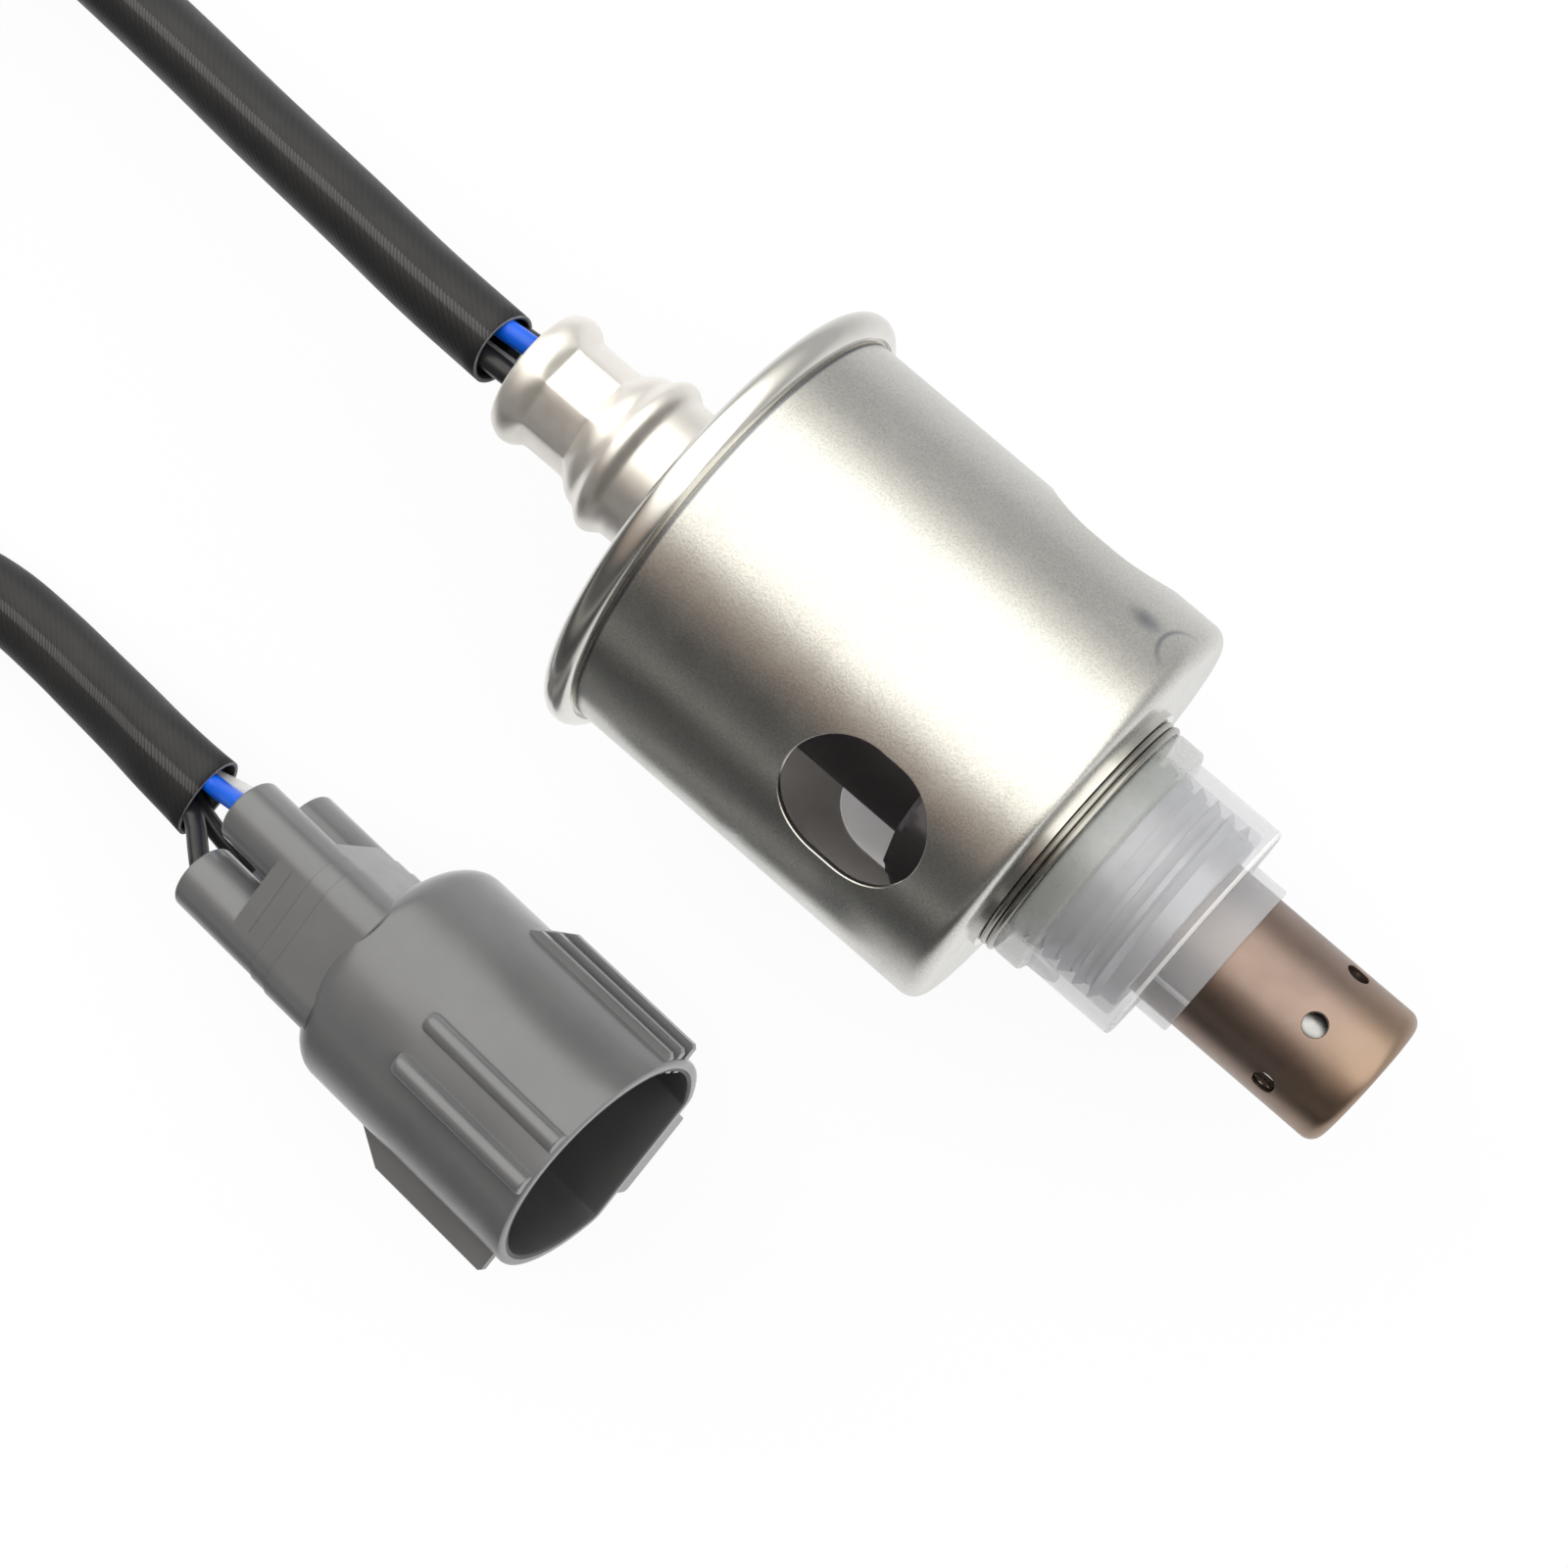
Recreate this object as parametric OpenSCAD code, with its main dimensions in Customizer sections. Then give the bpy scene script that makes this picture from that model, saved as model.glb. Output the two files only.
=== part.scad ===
// Heated four-wire oxygen sensor with a cup-shaped heat shield, a sleeved lead and a plug.
// Millimetres, +Z up. The sensor lies on the floor with its tip towards +X.
// Each sensor piece is drawn along its own axis: zero is the front face of the shield, the tip is above it.

/* [Heat shield] */
// Outside diameter of the cup wall
shield_d = 37.5; // [34:0.5:42]
// Front face to the middle of the rolled rim
shield_len = 37; // [30:0.5:44]
// Sheet thickness of the cup
shield_wall = 0.6; // [0.5:0.05:0.8]
// Diameter of the rolled bead's section
bead_d = 2.5; // [2:0.1:3]
// Rounding between the cup wall and its front face
shield_corner = 1.5; // [1:0.1:2.5]
// Length of each slot in the cup wall
window_len = 12.8; // [8:0.2:15]
// Width of each slot in the cup wall
window_w = 10.8; // [6:0.2:12]
// Front face to the middle of the slots
window_back = 11.8; // [10:0.2:14]

/* [Threaded shell] */
// Size across the flats of the wrench hexagon
hex_af = 22; // [19:1:24]
// Height of the wrench hexagon
hex_h = 8; // [6:0.5:10]
// Outside diameter of the mounting thread
thread_d = 17.8; // [16:0.1:18]
// Length of the threaded part
thread_len = 10.2; // [8:0.2:13]
// Outside diameter of the crush gasket
gasket_d = 22.6; // [21.6:0.2:24]

/* [Tip] */
// Outside diameter of the outer protector
tip_d = 12.8; // [11:0.1:13.4]
// Front face of the shield to the tip's end
tip_end = 30.6; // [27:0.2:34]
// Diameter of the gas holes
gas_hole_d = 2; // [1.4:0.1:2.6]
// Number of gas holes
gas_holes = 6; // [4:1:8]

/* [Protective cap] */
// Wall thickness of the cap
cap_wall = 1.15; // [0.8:0.05:1.3]
// Length of the collar that grips the tip
collar_len = 3.2; // [2:0.2:5]

/* [Rear cover] */
// Outside diameter of the wide part inside the shield
cover_d = 16; // [15:0.2:17]
// Across the corners of the crimped neck
neck_d = 10.4; // [10:0.1:10.8]
// Number of crimped flats
crimp_flats = 8; // [6:1:10]
// Front face of the shield to the rear lip
cover_back = 56.6; // [54:0.2:60]

/* [Lead] */
// Diameter of the woven sleeve
sleeve_d = 6.5; // [6:0.1:6.8]
// Diameter of each insulated wire
wire_d = 1.9; // [1.6:0.1:2]

/* [Plug] */
// Outside diameter of the round upper part of the housing
plug_d = 23.7; // [22:0.1:25]
// Length of the housing's socket part
plug_len = 27.3; // [24:0.1:30]
// Wall thickness of the socket
plug_wall = 1.3; // [1:0.1:1.8]
// Diameter of the four wire tubes
tube_d = 6.4; // [6:0.1:6.8]
// Length of the upper wire tubes
tube_len = 15.6; // [14:0.2:18]

/* [Hidden] */
$fn = 96;
eps = 0.01;
seat = 0.05;

// shield
shield_r = shield_d / 2;
bead_r = bead_d / 2;
bead_c = shield_r + 0.42;
corner_c = shield_r - shield_corner;
window_roll = -24.4;

// rest pose: the bead and the front corner of the cup both touch the floor
rest_a = shield_len - shield_corner;
rest_b = bead_c - corner_c;
nose_down = acos((shield_corner - bead_r) / norm([rest_a, rest_b])) - atan2(rest_a, rest_b);
axis_h = bead_c * cos(nose_down) + bead_r - shield_len * sin(nose_down);

// tip
tip_r = tip_d / 2;
tip_wall = 0.5;
tip_corner = 1.2;
tip_sunk = 1.4;
hole_drop = 6.2;
hole_z = tip_end - hole_drop;
hole_phase = 15;
inner_gap = 1.3;
inner_r = tip_r - tip_wall - inner_gap;
inner_wall = 0.4;
inner_corner = 1;
inner_hole_d = 1.2;
inner_hole_drop = 4;
inner_end_gap = 2.2;
inner_flange_t = 0.4;

// shell
hex_r = hex_af / 2 / cos(30);
hex_chamfer = 1.2;
hex_front = -shield_wall;
hex_back = hex_front - hex_h;
ring_d = 23.6;
ring_t = 0.5;
gasket_t = 1.25;
thread_start = ring_t + gasket_t;
thread_end = thread_start + thread_len;
thread_r = thread_d / 2;
thread_chamfer = 0.6;
spigot_r = 9.4;
rear_boss_r = cover_d / 2 - 0.5 - seat;
rear_boss_h = 6;
rear_boss_back = hex_back - rear_boss_h;
bore_low_r = 4.6;
bore_high_r = 6.3;
bore_step = -3;

// sensing parts
element_r = 2.9;
element_foot_r = 3.4;
element_foot_h = 4;
element_flange_r = 4.4;
element_top = tip_end - 6;
element_bore = 1.9;
element_wall_end = 1.4;
heater_r = 1.5;
talc_back = bore_step - 5.5;
ceramic_back = talc_back - 3.5;
crimp_back = ceramic_back - 0.9;
insulator_r = 5.2;
insulator_gap = 6;
insulator_front = rear_boss_back - insulator_gap;
insulator_back = -42.5;
insulator_flange = 3;
insulator_bore_h = 12;
insulator_hole_h = 28;
grommet_hole_h = 20;
terminal_shift = 0.3;
terminal_r = 0.55;
terminal_h = 7.6;
lead_offset = 1.45;

// rear cover
cover_wall = 0.5;
cover_r = cover_d / 2;
neck_r = neck_d / 2;
throat_r = 6.5;
flare_z = -cover_back + 1.1;
flare_h = 0.8;
flare_w = 2.3;
neck_z = -cover_back + 4.9;
bulge1_z = -48.3;
bulge1_h = 0.55;
bulge1_w = 1.9;
bulge2_z = -45.8;
bulge2_h = 0.78;
bulge2_w = 1.7;
shoulder_z = -40.4;
shoulder_w = 1.6;
crimp_w = 4.4;
crimp_depth = neck_r * (1 - cos(180 / crimp_flats));
crimp_phase = 6;
crimp_wall = 1;
crimp_slope = 1.2;
cover_gap = 0.2;
flare_steps = 10;
bellows_steps = 28;
filter_front = -42.6;
filter_back = -47.6;
grommet_front = -47.8;
grommet_back = -cover_back - 0.3;
neck_rise_z = neck_z + 2.4;

// cap
cap_in_r = thread_r + 0.25;
cap_r = cap_in_r + cap_wall;
cap_skirt_r = cap_r + 0.75;
cap_skirt_end = 4.5;
cap_front = thread_end + 1.05;
collar_r = tip_r + 0.75;
cap_face = 1;
cap_skirt_edge = 0.6;
cap_rib_roll = -29;
cap_rib_w = 0.4;
cap_lug_roll = -58;
cap_lug_r = 1.9;

// sensor's place: its box is centred on the origin
rear_x = -grommet_back * cos(nose_down) + (neck_r - 0.9) * sin(nose_down);
front_x = (tip_end - tip_corner) * cos(nose_down) + (tip_r - tip_corner) * sin(nose_down) + tip_corner;
axis_x = (rear_x - front_x) / 2;

// lead
sleeve_r = sleeve_d / 2;
wire_r = wire_d / 2;
sleeve_sides = 10;
sleeve_spread = 0.2;
wire_sides = 8;
wire_gap = 0.5;
stub_back = grommet_back - 2.6;
lead_a = [[-47, -0.45, 21.4], [-56, -0.5, 20.4], [-66, -0.35, 18.4], [-78, -0.3, 15.9],
          [-90, -0.1, 13.4], [-102, 0, 11.4], [-114, 0, 10.4], [-124, 0, 10.2], [-134, 0, 10.2]];
lead_b = [[-134, -68.5, 3.6], [-124, -67.4, 3.4], [-114, -64.4, 3.3], [-104, -60.2, 3.3],
          [-94, -56, 3.3], [-86, -53, 3.3], [-79, -51.4, 3.5], [-72, -50.9, 4.3], [-66, -50.7, 5.4],
          [-60, -50.3, 7.2]];
coil_x = -158;
coil_y = -29;
coil_in_r = 29;
coil_turns = 1.5;
coil_pitch = 7;
coil_low = 0.4;
coil_out_r = coil_in_r + coil_pitch * coil_turns;
tie_t = 0.4;
tie_w = 3;
tie_play = 0.2;
tie_head = 4;
tie_head_h = 1.6;

// plug
plug_r = plug_d / 2;
plug_axis_z = 9.5;
plug_foot_r = 2;
plug_foot_y = sqrt(pow(plug_r - plug_foot_r, 2) - pow(plug_axis_z - plug_foot_r, 2));
plug_dome = 3.2;
plug_dome_over = 0.1;
plug_back_wall = 7;
tube_r = tube_d / 2;
tube_y = 3.7;
tube_low_z = 9.2;
tube_high_z = 17.2;
tube_short = 1.1;
tube_bore_r = 2.5;
web_len = 9;
block_len = 7.2;
collar_step = 1.9;
collar_grow = 0.12;
lug_h = 2.85;
lug_x = plug_len - 4.4;
lug_len = 4;
lug_w = 9;
rib_r = 1;
rib_angle = 10.8;
rib_mid = 3;
rib_front_gap = 0.15;
rib_len = 16;
rib_root = 1;
rib_rise = 0.3;
side_rib_gap = 0.25;
side_rib_h = 0.5;
side_rib_step = 0.45;
side_rib_slant = 1.6;
side_rib_pitch = 1.7;
side_rib_z = plug_axis_z + 1.9;
side_rib_w = 0.9;
side_rib_len = 17;
side_rib_root = 1.6;
lone_rib_h = 2.15;
lone_rib_len = 17;
lone_rib_gap = 1.8;
blade_w = 2.3;
blade_t = 0.64;
blade_len = 9;
blade_root = 2;
seal_h = 4;
seal_lips = 3;
seal_lip_w = 0.6;
seal_sunk = 1.4;
retainer_t = 1.6;
retainer_edge = 1.9;
retainer_top = 0.9;
plug_rest = atan2(lug_h, lug_x);
plug_place = [-25.65, -49.62, 0];
plug_heading = 1.06;
sleeve_gap = 6.2;
sleeve_mouth = [-tube_len - sleeve_gap, 0.3, (tube_high_z + tube_low_z) / 2 - 0.4];

// places a piece drawn along its own axis on the resting sensor
module on_sensor() translate([axis_x, 0, axis_h]) rotate([0, 90 + nose_down, 0]) children();

// places a piece drawn along +X on the resting plug
module on_plug() translate(plug_place)
    rotate([0, 0, plug_heading]) rotate([0, -plug_rest, 0]) children();

// place in the shared frame of a point of the plug
function plug_point(p) = let (
        x = p[0] * cos(plug_rest) - p[2] * sin(plug_rest),
        z = p[0] * sin(plug_rest) + p[2] * cos(plug_rest))
    plug_place + [x * cos(plug_heading) - p[1] * sin(plug_heading),
        x * sin(plug_heading) + p[1] * cos(plug_heading), z];

// turns a child about the sensor's axis, zero is up and plus is towards +Y
module rolled(angle) rotate([0, 0, 180 - angle]) children();

// ring with a square section between two heights
module band(r_out, r_in, z_low, z_high)
    translate([0, 0, z_low]) difference() {
        cylinder(r = r_out, h = z_high - z_low);
        translate([0, 0, -1]) cylinder(r = r_in, h = z_high - z_low + 2);
    }

// cup wall and front face as one bent sheet, in radius and height
module cup_sheet(grow) {
    corner = max(shield_corner - grow, 0.2);
    translate([0, -shield_len]) square([shield_r - grow, shield_len - shield_corner]);
    translate([0, -shield_corner - eps]) square([shield_r - grow - corner, shield_corner - grow + eps]);
    translate([corner_c, -shield_corner]) circle(r = corner);
}

module heat_shield() color("LightGray") on_sensor() difference() {
    rotate_extrude() {
        difference() {
            cup_sheet(0);
            cup_sheet(shield_wall);
            translate([-1, -shield_len - 1]) square([shield_r - shield_wall + 1, 1 + eps]);
            translate([-1, -2]) square([spigot_r + seat + 1, 4]);
        }
        translate([bead_c, -shield_len]) difference() {
            circle(r = bead_r);
            circle(r = bead_r - shield_wall);
        }
    }
    for (side = [0, 180]) rolled(window_roll + side) window_cutter();
}

// obround slot through one side of the cup
module window_cutter() translate([0, 0, -window_back]) rotate([0, 90, 0]) {
    straight = (window_len - window_w) / 2;
    for (end = [-straight, straight]) translate([end, 0, spigot_r]) cylinder(d = window_w, h = shield_r);
    translate([-straight, -window_w / 2, spigot_r]) cube([2 * straight, window_w, shield_r]);
}

module retaining_ring() color("Silver") on_sensor() band(ring_d / 2, spigot_r + seat, 0, ring_t);

// folded sheet gasket with a groove around its edge
module crush_gasket() color("Gainsboro") on_sensor() rotate_extrude() difference() {
    translate([thread_r + 0.1, ring_t]) square([gasket_d / 2 - thread_r - 0.1, gasket_t]);
    translate([gasket_d / 2, ring_t + gasket_t / 2]) circle(r = 0.22);
}

module sensor_shell() color("Silver") on_sensor() difference() {
    union() {
        intersection() {
            translate([0, 0, hex_back]) cylinder(r = hex_r, h = hex_h, $fn = 6);
            translate([0, 0, hex_back])
                cylinder(r1 = hex_r - hex_chamfer, r2 = hex_r + hex_h - hex_chamfer, h = hex_h);
        }
        translate([0, 0, hex_front - eps]) cylinder(r = spigot_r, h = ring_t - hex_front + eps);
        translate([0, 0, ring_t - eps])
            cylinder(r = thread_r, h = thread_end - ring_t - thread_chamfer + eps);
        translate([0, 0, thread_end - thread_chamfer - eps])
            cylinder(r1 = thread_r, r2 = thread_r - thread_chamfer, h = thread_chamfer);
        translate([0, 0, rear_boss_back]) cylinder(r = rear_boss_r, h = hex_back - rear_boss_back + eps);
    }
    translate([0, 0, bore_step]) cylinder(r = bore_low_r, h = thread_end - bore_step + 1);
    translate([0, 0, rear_boss_back - 1]) cylinder(r = bore_high_r, h = bore_step - rear_boss_back + 1);
    translate([0, 0, thread_end - tip_sunk]) cylinder(r = tip_r + seat, h = tip_sunk + 1);
}

// closed tube with rounded end corners
module closed_tube(r, wall, z_low, z_high, corner) {
    inner = max(corner - wall, 0.2);
    rotate_extrude() difference() {
        union() {
            translate([0, z_low]) square([r, z_high - z_low - corner]);
            translate([0, z_low]) square([r - corner, z_high - z_low]);
            translate([r - corner, z_high - corner]) circle(r = corner);
        }
        translate([-1, z_low - 1]) square([r - wall + 1, z_high - z_low - corner + 1]);
        translate([-1, z_low - 1]) square([r - wall - inner + 1, z_high - z_low - wall + 1]);
        translate([r - corner, z_high - corner]) circle(r = inner);
    }
}

module outer_protector() color("RosyBrown") on_sensor() difference() {
    closed_tube(tip_r, tip_wall, thread_end - tip_sunk, tip_end, tip_corner);
    for (i = [0 : gas_holes - 1]) rolled(hole_phase + i * 360 / gas_holes)
        translate([tip_r - 2, 0, hole_z]) rotate([0, 90, 0]) cylinder(d = gas_hole_d, h = 4);
    translate([0, 0, tip_end - 2]) cylinder(d = gas_hole_d, h = 4);
}

module inner_protector() color("LightGray") on_sensor() {
    difference() {
        closed_tube(inner_r, inner_wall, thread_end - tip_sunk, tip_end - inner_end_gap, inner_corner);
        for (i = [0 : gas_holes - 1]) rolled(hole_phase + (i + 0.5) * 360 / gas_holes)
            translate([inner_r - 1.5, 0, hole_z - inner_hole_drop]) rotate([0, 90, 0])
                cylinder(d = inner_hole_d, h = 3);
    }
    band(tip_r - tip_wall - seat, inner_r - eps, thread_end - tip_sunk,
        thread_end - tip_sunk + inner_flange_t);
}

module sensing_element() color("White") on_sensor() difference() {
    union() {
        translate([0, 0, element_top - element_r]) sphere(r = element_r);
        translate([0, 0, -1]) cylinder(r = element_r, h = element_top - element_r + 1);
        translate([0, 0, -1]) cylinder(r = element_flange_r, h = 3);
        translate([0, 0, crimp_back - element_foot_h])
            cylinder(r = element_foot_r, h = element_foot_h - crimp_back);
    }
    translate([0, 0, crimp_back - element_foot_h - 1])
        cylinder(r = element_bore, h = element_top - element_wall_end - crimp_back + element_foot_h + 1);
}

module heater_rod() color("Gainsboro") on_sensor()
    translate([0, 0, insulator_back + 2])
        cylinder(r = heater_r, h = element_top - element_wall_end - insulator_back - 3);

module talc_ring() color("Beige") on_sensor()
    band(bore_high_r - seat, element_foot_r + seat, talc_back, bore_step);

module ceramic_ring() color("OldLace") on_sensor()
    band(bore_high_r - seat, element_foot_r + seat, ceramic_back, talc_back);

module crimp_ring() color("DimGray") on_sensor()
    band(bore_high_r - seat, element_foot_r + 2 * seat, crimp_back, ceramic_back);

// the four wire positions inside the sensor
module each_wire() for (i = [0 : 3])
    rotate([0, 0, 45 + 90 * i]) translate([lead_offset * sqrt(2), 0, 0]) children();

module ceramic_insulator() color("Ivory") on_sensor() difference() {
    union() {
        translate([0, 0, insulator_back]) cylinder(r = insulator_r, h = insulator_front - insulator_back);
        translate([0, 0, insulator_front - insulator_flange])
            cylinder(r = cover_r - cover_wall - seat, h = insulator_flange);
    }
    translate([0, 0, insulator_front - insulator_bore_h])
        cylinder(r = element_r + 1, h = insulator_bore_h + 1);
    translate([0, 0, insulator_back + 1.9]) cylinder(r = heater_r + seat, h = insulator_hole_h);
    each_wire() translate([terminal_shift, 0, insulator_back - 1])
        cylinder(r = terminal_r + 2 * seat, h = terminal_h + 1.3);
}

module contact_terminals() color("Goldenrod") on_sensor()
    each_wire() translate([terminal_shift, 0, insulator_back + 2 * seat])
        cylinder(r = terminal_r, h = terminal_h);

module filter_sleeve() color("White") on_sensor()
    band(throat_r - cover_wall - 0.25, insulator_r - 0.7, filter_back, filter_front);

// smooth hump in the cover's wall
function hump(z, at, half, height) = abs(z - at) < half ? height * pow(cos(90 * (z - at) / half), 2) : 0;

// smooth step from zero to one
function ease(z, from, to) = z <= from ? 0 : z >= to ? 1 : (1 - cos(180 * (z - from) / (to - from))) / 2;

// outside radius of the rear cover at a height
function cover_radius(z) = neck_r + (throat_r - neck_r) * ease(z, neck_rise_z, bulge2_z - 0.2)
    + (cover_r - throat_r) * ease(z, shoulder_z - shoulder_w, shoulder_z + shoulder_w)
    + hump(z, flare_z, flare_w, flare_h) + hump(z, bulge1_z, bulge1_w, bulge1_h)
    + hump(z, bulge2_z, bulge2_w, bulge2_h);

// bellows wall of the rear cover from its rear lip to its wide part
module cover_profile() {
    wide_z = shoulder_z + shoulder_w;
    heights = concat(steps(-cover_back, flare_z + flare_w, flare_steps),
        steps(bulge1_z - bulge1_w, wide_z, bellows_steps));
    last = len(heights) - 1;
    polygon(concat([for (z = heights) [cover_radius(z), z]],
        [[cover_r, hex_back - cover_gap], [cover_r - cover_wall, hex_back - cover_gap]],
        [for (i = [last : -1 : 0]) [cover_radius(heights[i]) - cover_wall, heights[i]]]));
}

// even steps between two heights
function steps(from, to, count) = [for (i = [0 : count]) from + (to - from) * i / count];

module rear_cover() color("WhiteSmoke") on_sensor() difference() {
    union() {
        rotate_extrude() cover_profile();
        band(neck_r - cover_wall / 2, neck_r - crimp_wall, neck_z - crimp_w / 2 - 1,
            neck_z + crimp_w / 2 + 1);
    }
    for (i = [0 : crimp_flats - 1]) rolled(crimp_phase + (i + 0.5) * 360 / crimp_flats) crimp_cutter();
}

// flat of the crimping tool with slanted ends
module crimp_cutter() translate([neck_r - crimp_depth, neck_r, neck_z]) rotate([90, 0, 0])
    linear_extrude(height = neck_d)
        polygon([[0, -crimp_w / 2], [crimp_slope * crimp_wall, -crimp_w / 2 - crimp_wall],
            [crimp_slope * crimp_wall, crimp_w / 2 + crimp_wall], [0, crimp_w / 2]]);

module rubber_grommet() color("DimGray") on_sensor() difference() {
    translate([0, 0, grommet_back])
        cylinder(r = neck_r - crimp_wall - seat, h = grommet_front - grommet_back);
    each_wire() translate([0, 0, grommet_back - 1]) cylinder(r = wire_r + seat, h = grommet_hole_h);
}

// milky cap: skirt against the gasket, tube over the thread, face and collar on the tip
module protective_cap() color([0.9, 0.92, 0.95, 0.6]) on_sensor() {
    rotate_extrude() {
        translate([cap_in_r, thread_start + seat])
            square([cap_r - cap_in_r, cap_front - thread_start - seat]);
        translate([cap_r - eps, thread_start + seat])
            square([cap_skirt_r - cap_r + eps, cap_skirt_end - cap_skirt_edge - thread_start - seat]);
        polygon([[cap_r - eps, cap_skirt_end - cap_skirt_edge - eps],
            [cap_skirt_r, cap_skirt_end - cap_skirt_edge - eps], [cap_r - eps, cap_skirt_end]]);
        translate([tip_r + seat, cap_front - cap_face]) square([cap_r - tip_r - seat, cap_face]);
        translate([tip_r + seat, cap_front - eps]) square([collar_r - tip_r - seat, collar_len + eps]);
    }
    rolled(cap_rib_roll) translate([collar_r - 0.2, -cap_rib_w / 2, cap_front - eps])
        cube([0.45, cap_rib_w, collar_len - 0.2]);
    rolled(cap_lug_roll) translate([cap_r - 0.3, 0, cap_skirt_end]) rotate([0, 90, 0])
        cylinder(r = cap_lug_r, h = 0.65);
}

// vector of length one in the same direction
function unit(v) = v / norm(v);

// direction of a route at one of its points
function heading(route, i) = unit(route[min(i + 1, len(route) - 1)] - route[max(i - 1, 0)]);

// points between the route's own points on a smooth curve
function smooth_point(a, b, c, d, t) = 0.5 * ((2 * b) + (c - a) * t + (2 * a - 5 * b + 4 * c - d) * t * t
    + (3 * b - a - 3 * c + d) * t * t * t);

function smooth_route(route, parts) = let (last = len(route) - 1) concat(
    [for (i = [0 : last - 1], k = [0 : parts - 1])
        smooth_point(route[max(i - 1, 0)], route[i], route[i + 1], route[min(i + 2, last)], k / parts)],
    [route[last]]);

// closed tube swept along a route, spread wider and lower towards its end
module swept_tube(route, r, sides, spread = 0) {
    side_dirs = [for (i = [0 : len(route) - 1]) unit(cross([0, 0, 1], heading(route, i)))];
    up_dirs = [for (i = [0 : len(route) - 1]) cross(heading(route, i), side_dirs[i])];
    wide = [for (i = [0 : len(route) - 1]) r * (1 + spread * i / (len(route) - 1))];
    rings = [for (i = [0 : len(route) - 1], k = [0 : sides - 1]) route[i]
        + wide[i] * cos(360 * k / sides) * side_dirs[i]
        + r * r / wide[i] * sin(360 * k / sides) * up_dirs[i]];
    last = (len(route) - 1) * sides;
    polyhedron(points = rings, faces = concat(
        [[for (k = [0 : sides - 1]) k]],
        [[for (k = [sides - 1 : -1 : 0]) last + k]],
        [for (i = [0 : len(route) - 2], k = [0 : sides - 1])
            [i * sides + k, (i + 1) * sides + k, (i + 1) * sides + (k + 1) % sides,
                i * sides + (k + 1) % sides]]));
}

// wire through the grommet up to the sleeve's end
module wire_in_sensor(i) on_sensor() rotate([0, 0, 45 + 90 * i])
    translate([lead_offset * sqrt(2), 0, stub_back])
        cylinder(r = wire_r, h = insulator_back - stub_back - 0.3);

// side and height of a wire's tube in the plug
function tube_side(i) = (i == 0 || i == 3) ? tube_y : -tube_y;
function tube_height(i) = i < 2 ? tube_high_z : tube_low_z;
function tube_back(i) = i < 2 ? -tube_len : tube_short - tube_len;

// wire from the sleeve's end into its tube
module wire_in_plug(i) {
    out_y = tube_side(i);
    out_z = tube_height(i);
    near = sleeve_mouth + [wire_gap, sign(out_y) * lead_offset, (i < 2 ? 1 : -1) * lead_offset];
    far = [-tube_len + 1, out_y, out_z];
    route = [near, near + [1, 0, 0], (near + far) / 2 + [0.1, 0, 0], far - [1, 0, 0], far, far + [5, 0, 0]];
    on_plug() swept_tube(smooth_route(route, 3), wire_r, wire_sides);
}

module wire_blue() color("Blue") { wire_in_sensor(1); wire_in_plug(0); }
module wire_white() color("White") { wire_in_sensor(3); wire_in_plug(2); }
module wire_black_a() color("Black") { wire_in_sensor(0); wire_in_plug(1); }
module wire_black_b() color("Black") { wire_in_sensor(2); wire_in_plug(3); }

module sleeve_sensor_end() color("DarkSlateGray") swept_tube(lead_a, sleeve_r, sleeve_sides);
module sleeve_plug_end() color("DarkSlateGray") swept_tube(
    concat(lead_b, [plug_point(sleeve_mouth - [6, 0, 0]), plug_point(sleeve_mouth)]),
    sleeve_r, sleeve_sides, sleeve_spread);

// outer shape of the coiled turns
module lead_coil() color("DarkSlateGray") translate([coil_x, coil_y, coil_low + sleeve_r]) rotate_extrude() {
    translate([coil_in_r, 0]) circle(r = sleeve_r);
    translate([coil_out_r, 0]) circle(r = sleeve_r);
    translate([coil_in_r, -sleeve_r]) square([coil_out_r - coil_in_r, sleeve_d]);
}

// flat strap around the turns on the far side
module coil_tie() color("Black") {
    inner = coil_in_r - sleeve_r - tie_play;
    outer = coil_out_r + sleeve_r + tie_play;
    translate([coil_x - outer - tie_t, coil_y - tie_w / 2, 0]) difference() {
        cube([outer - inner + 2 * tie_t, tie_w, sleeve_d + 2 * tie_t]);
        translate([tie_t, -1, tie_t]) cube([outer - inner, tie_w + 2, sleeve_d]);
    }
    translate([coil_x - (outer + inner + tie_head) / 2, coil_y - tie_head / 2, sleeve_d + 2 * tie_t - eps])
        cube([tie_head, tie_head, tie_head_h]);
}

// section of the housing: round above, flat below, with rounded lower corners
module plug_section(shrink) {
    big = plug_r - shrink;
    small = plug_foot_r - shrink;
    cut_z = plug_axis_z - big * (plug_axis_z - plug_foot_r) / (plug_r - plug_foot_r);
    intersection() {
        translate([0, plug_axis_z]) circle(r = big);
        translate([-plug_r - 1, cut_z]) square([plug_d + 2, plug_d + 2]);
    }
    for (side = [-1, 1]) translate([side * plug_foot_y, plug_foot_r]) circle(r = small);
    translate([-plug_foot_y, shrink]) square([2 * plug_foot_y, plug_axis_z - shrink]);
}

// lays a flat section across the plug's axis
module along_plug(from, to) translate([from, 0, 0])
    rotate([90, 0, 90]) linear_extrude(height = to - from) children();

// four tubes' positions in the plug's section
module each_tube() for (i = [0 : 3]) translate([tube_side(i), tube_height(i)]) children();

module tube_block_section(grow) {
    height = tube_high_z - tube_low_z;
    each_tube() circle(r = tube_r + grow);
    translate([-tube_y - tube_r - grow, tube_low_z]) square([2 * (tube_y + tube_r + grow), height]);
    translate([-tube_y, tube_low_z - tube_r - grow])
        square([2 * tube_y, height + 2 * (tube_r + grow)]);
}

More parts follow.
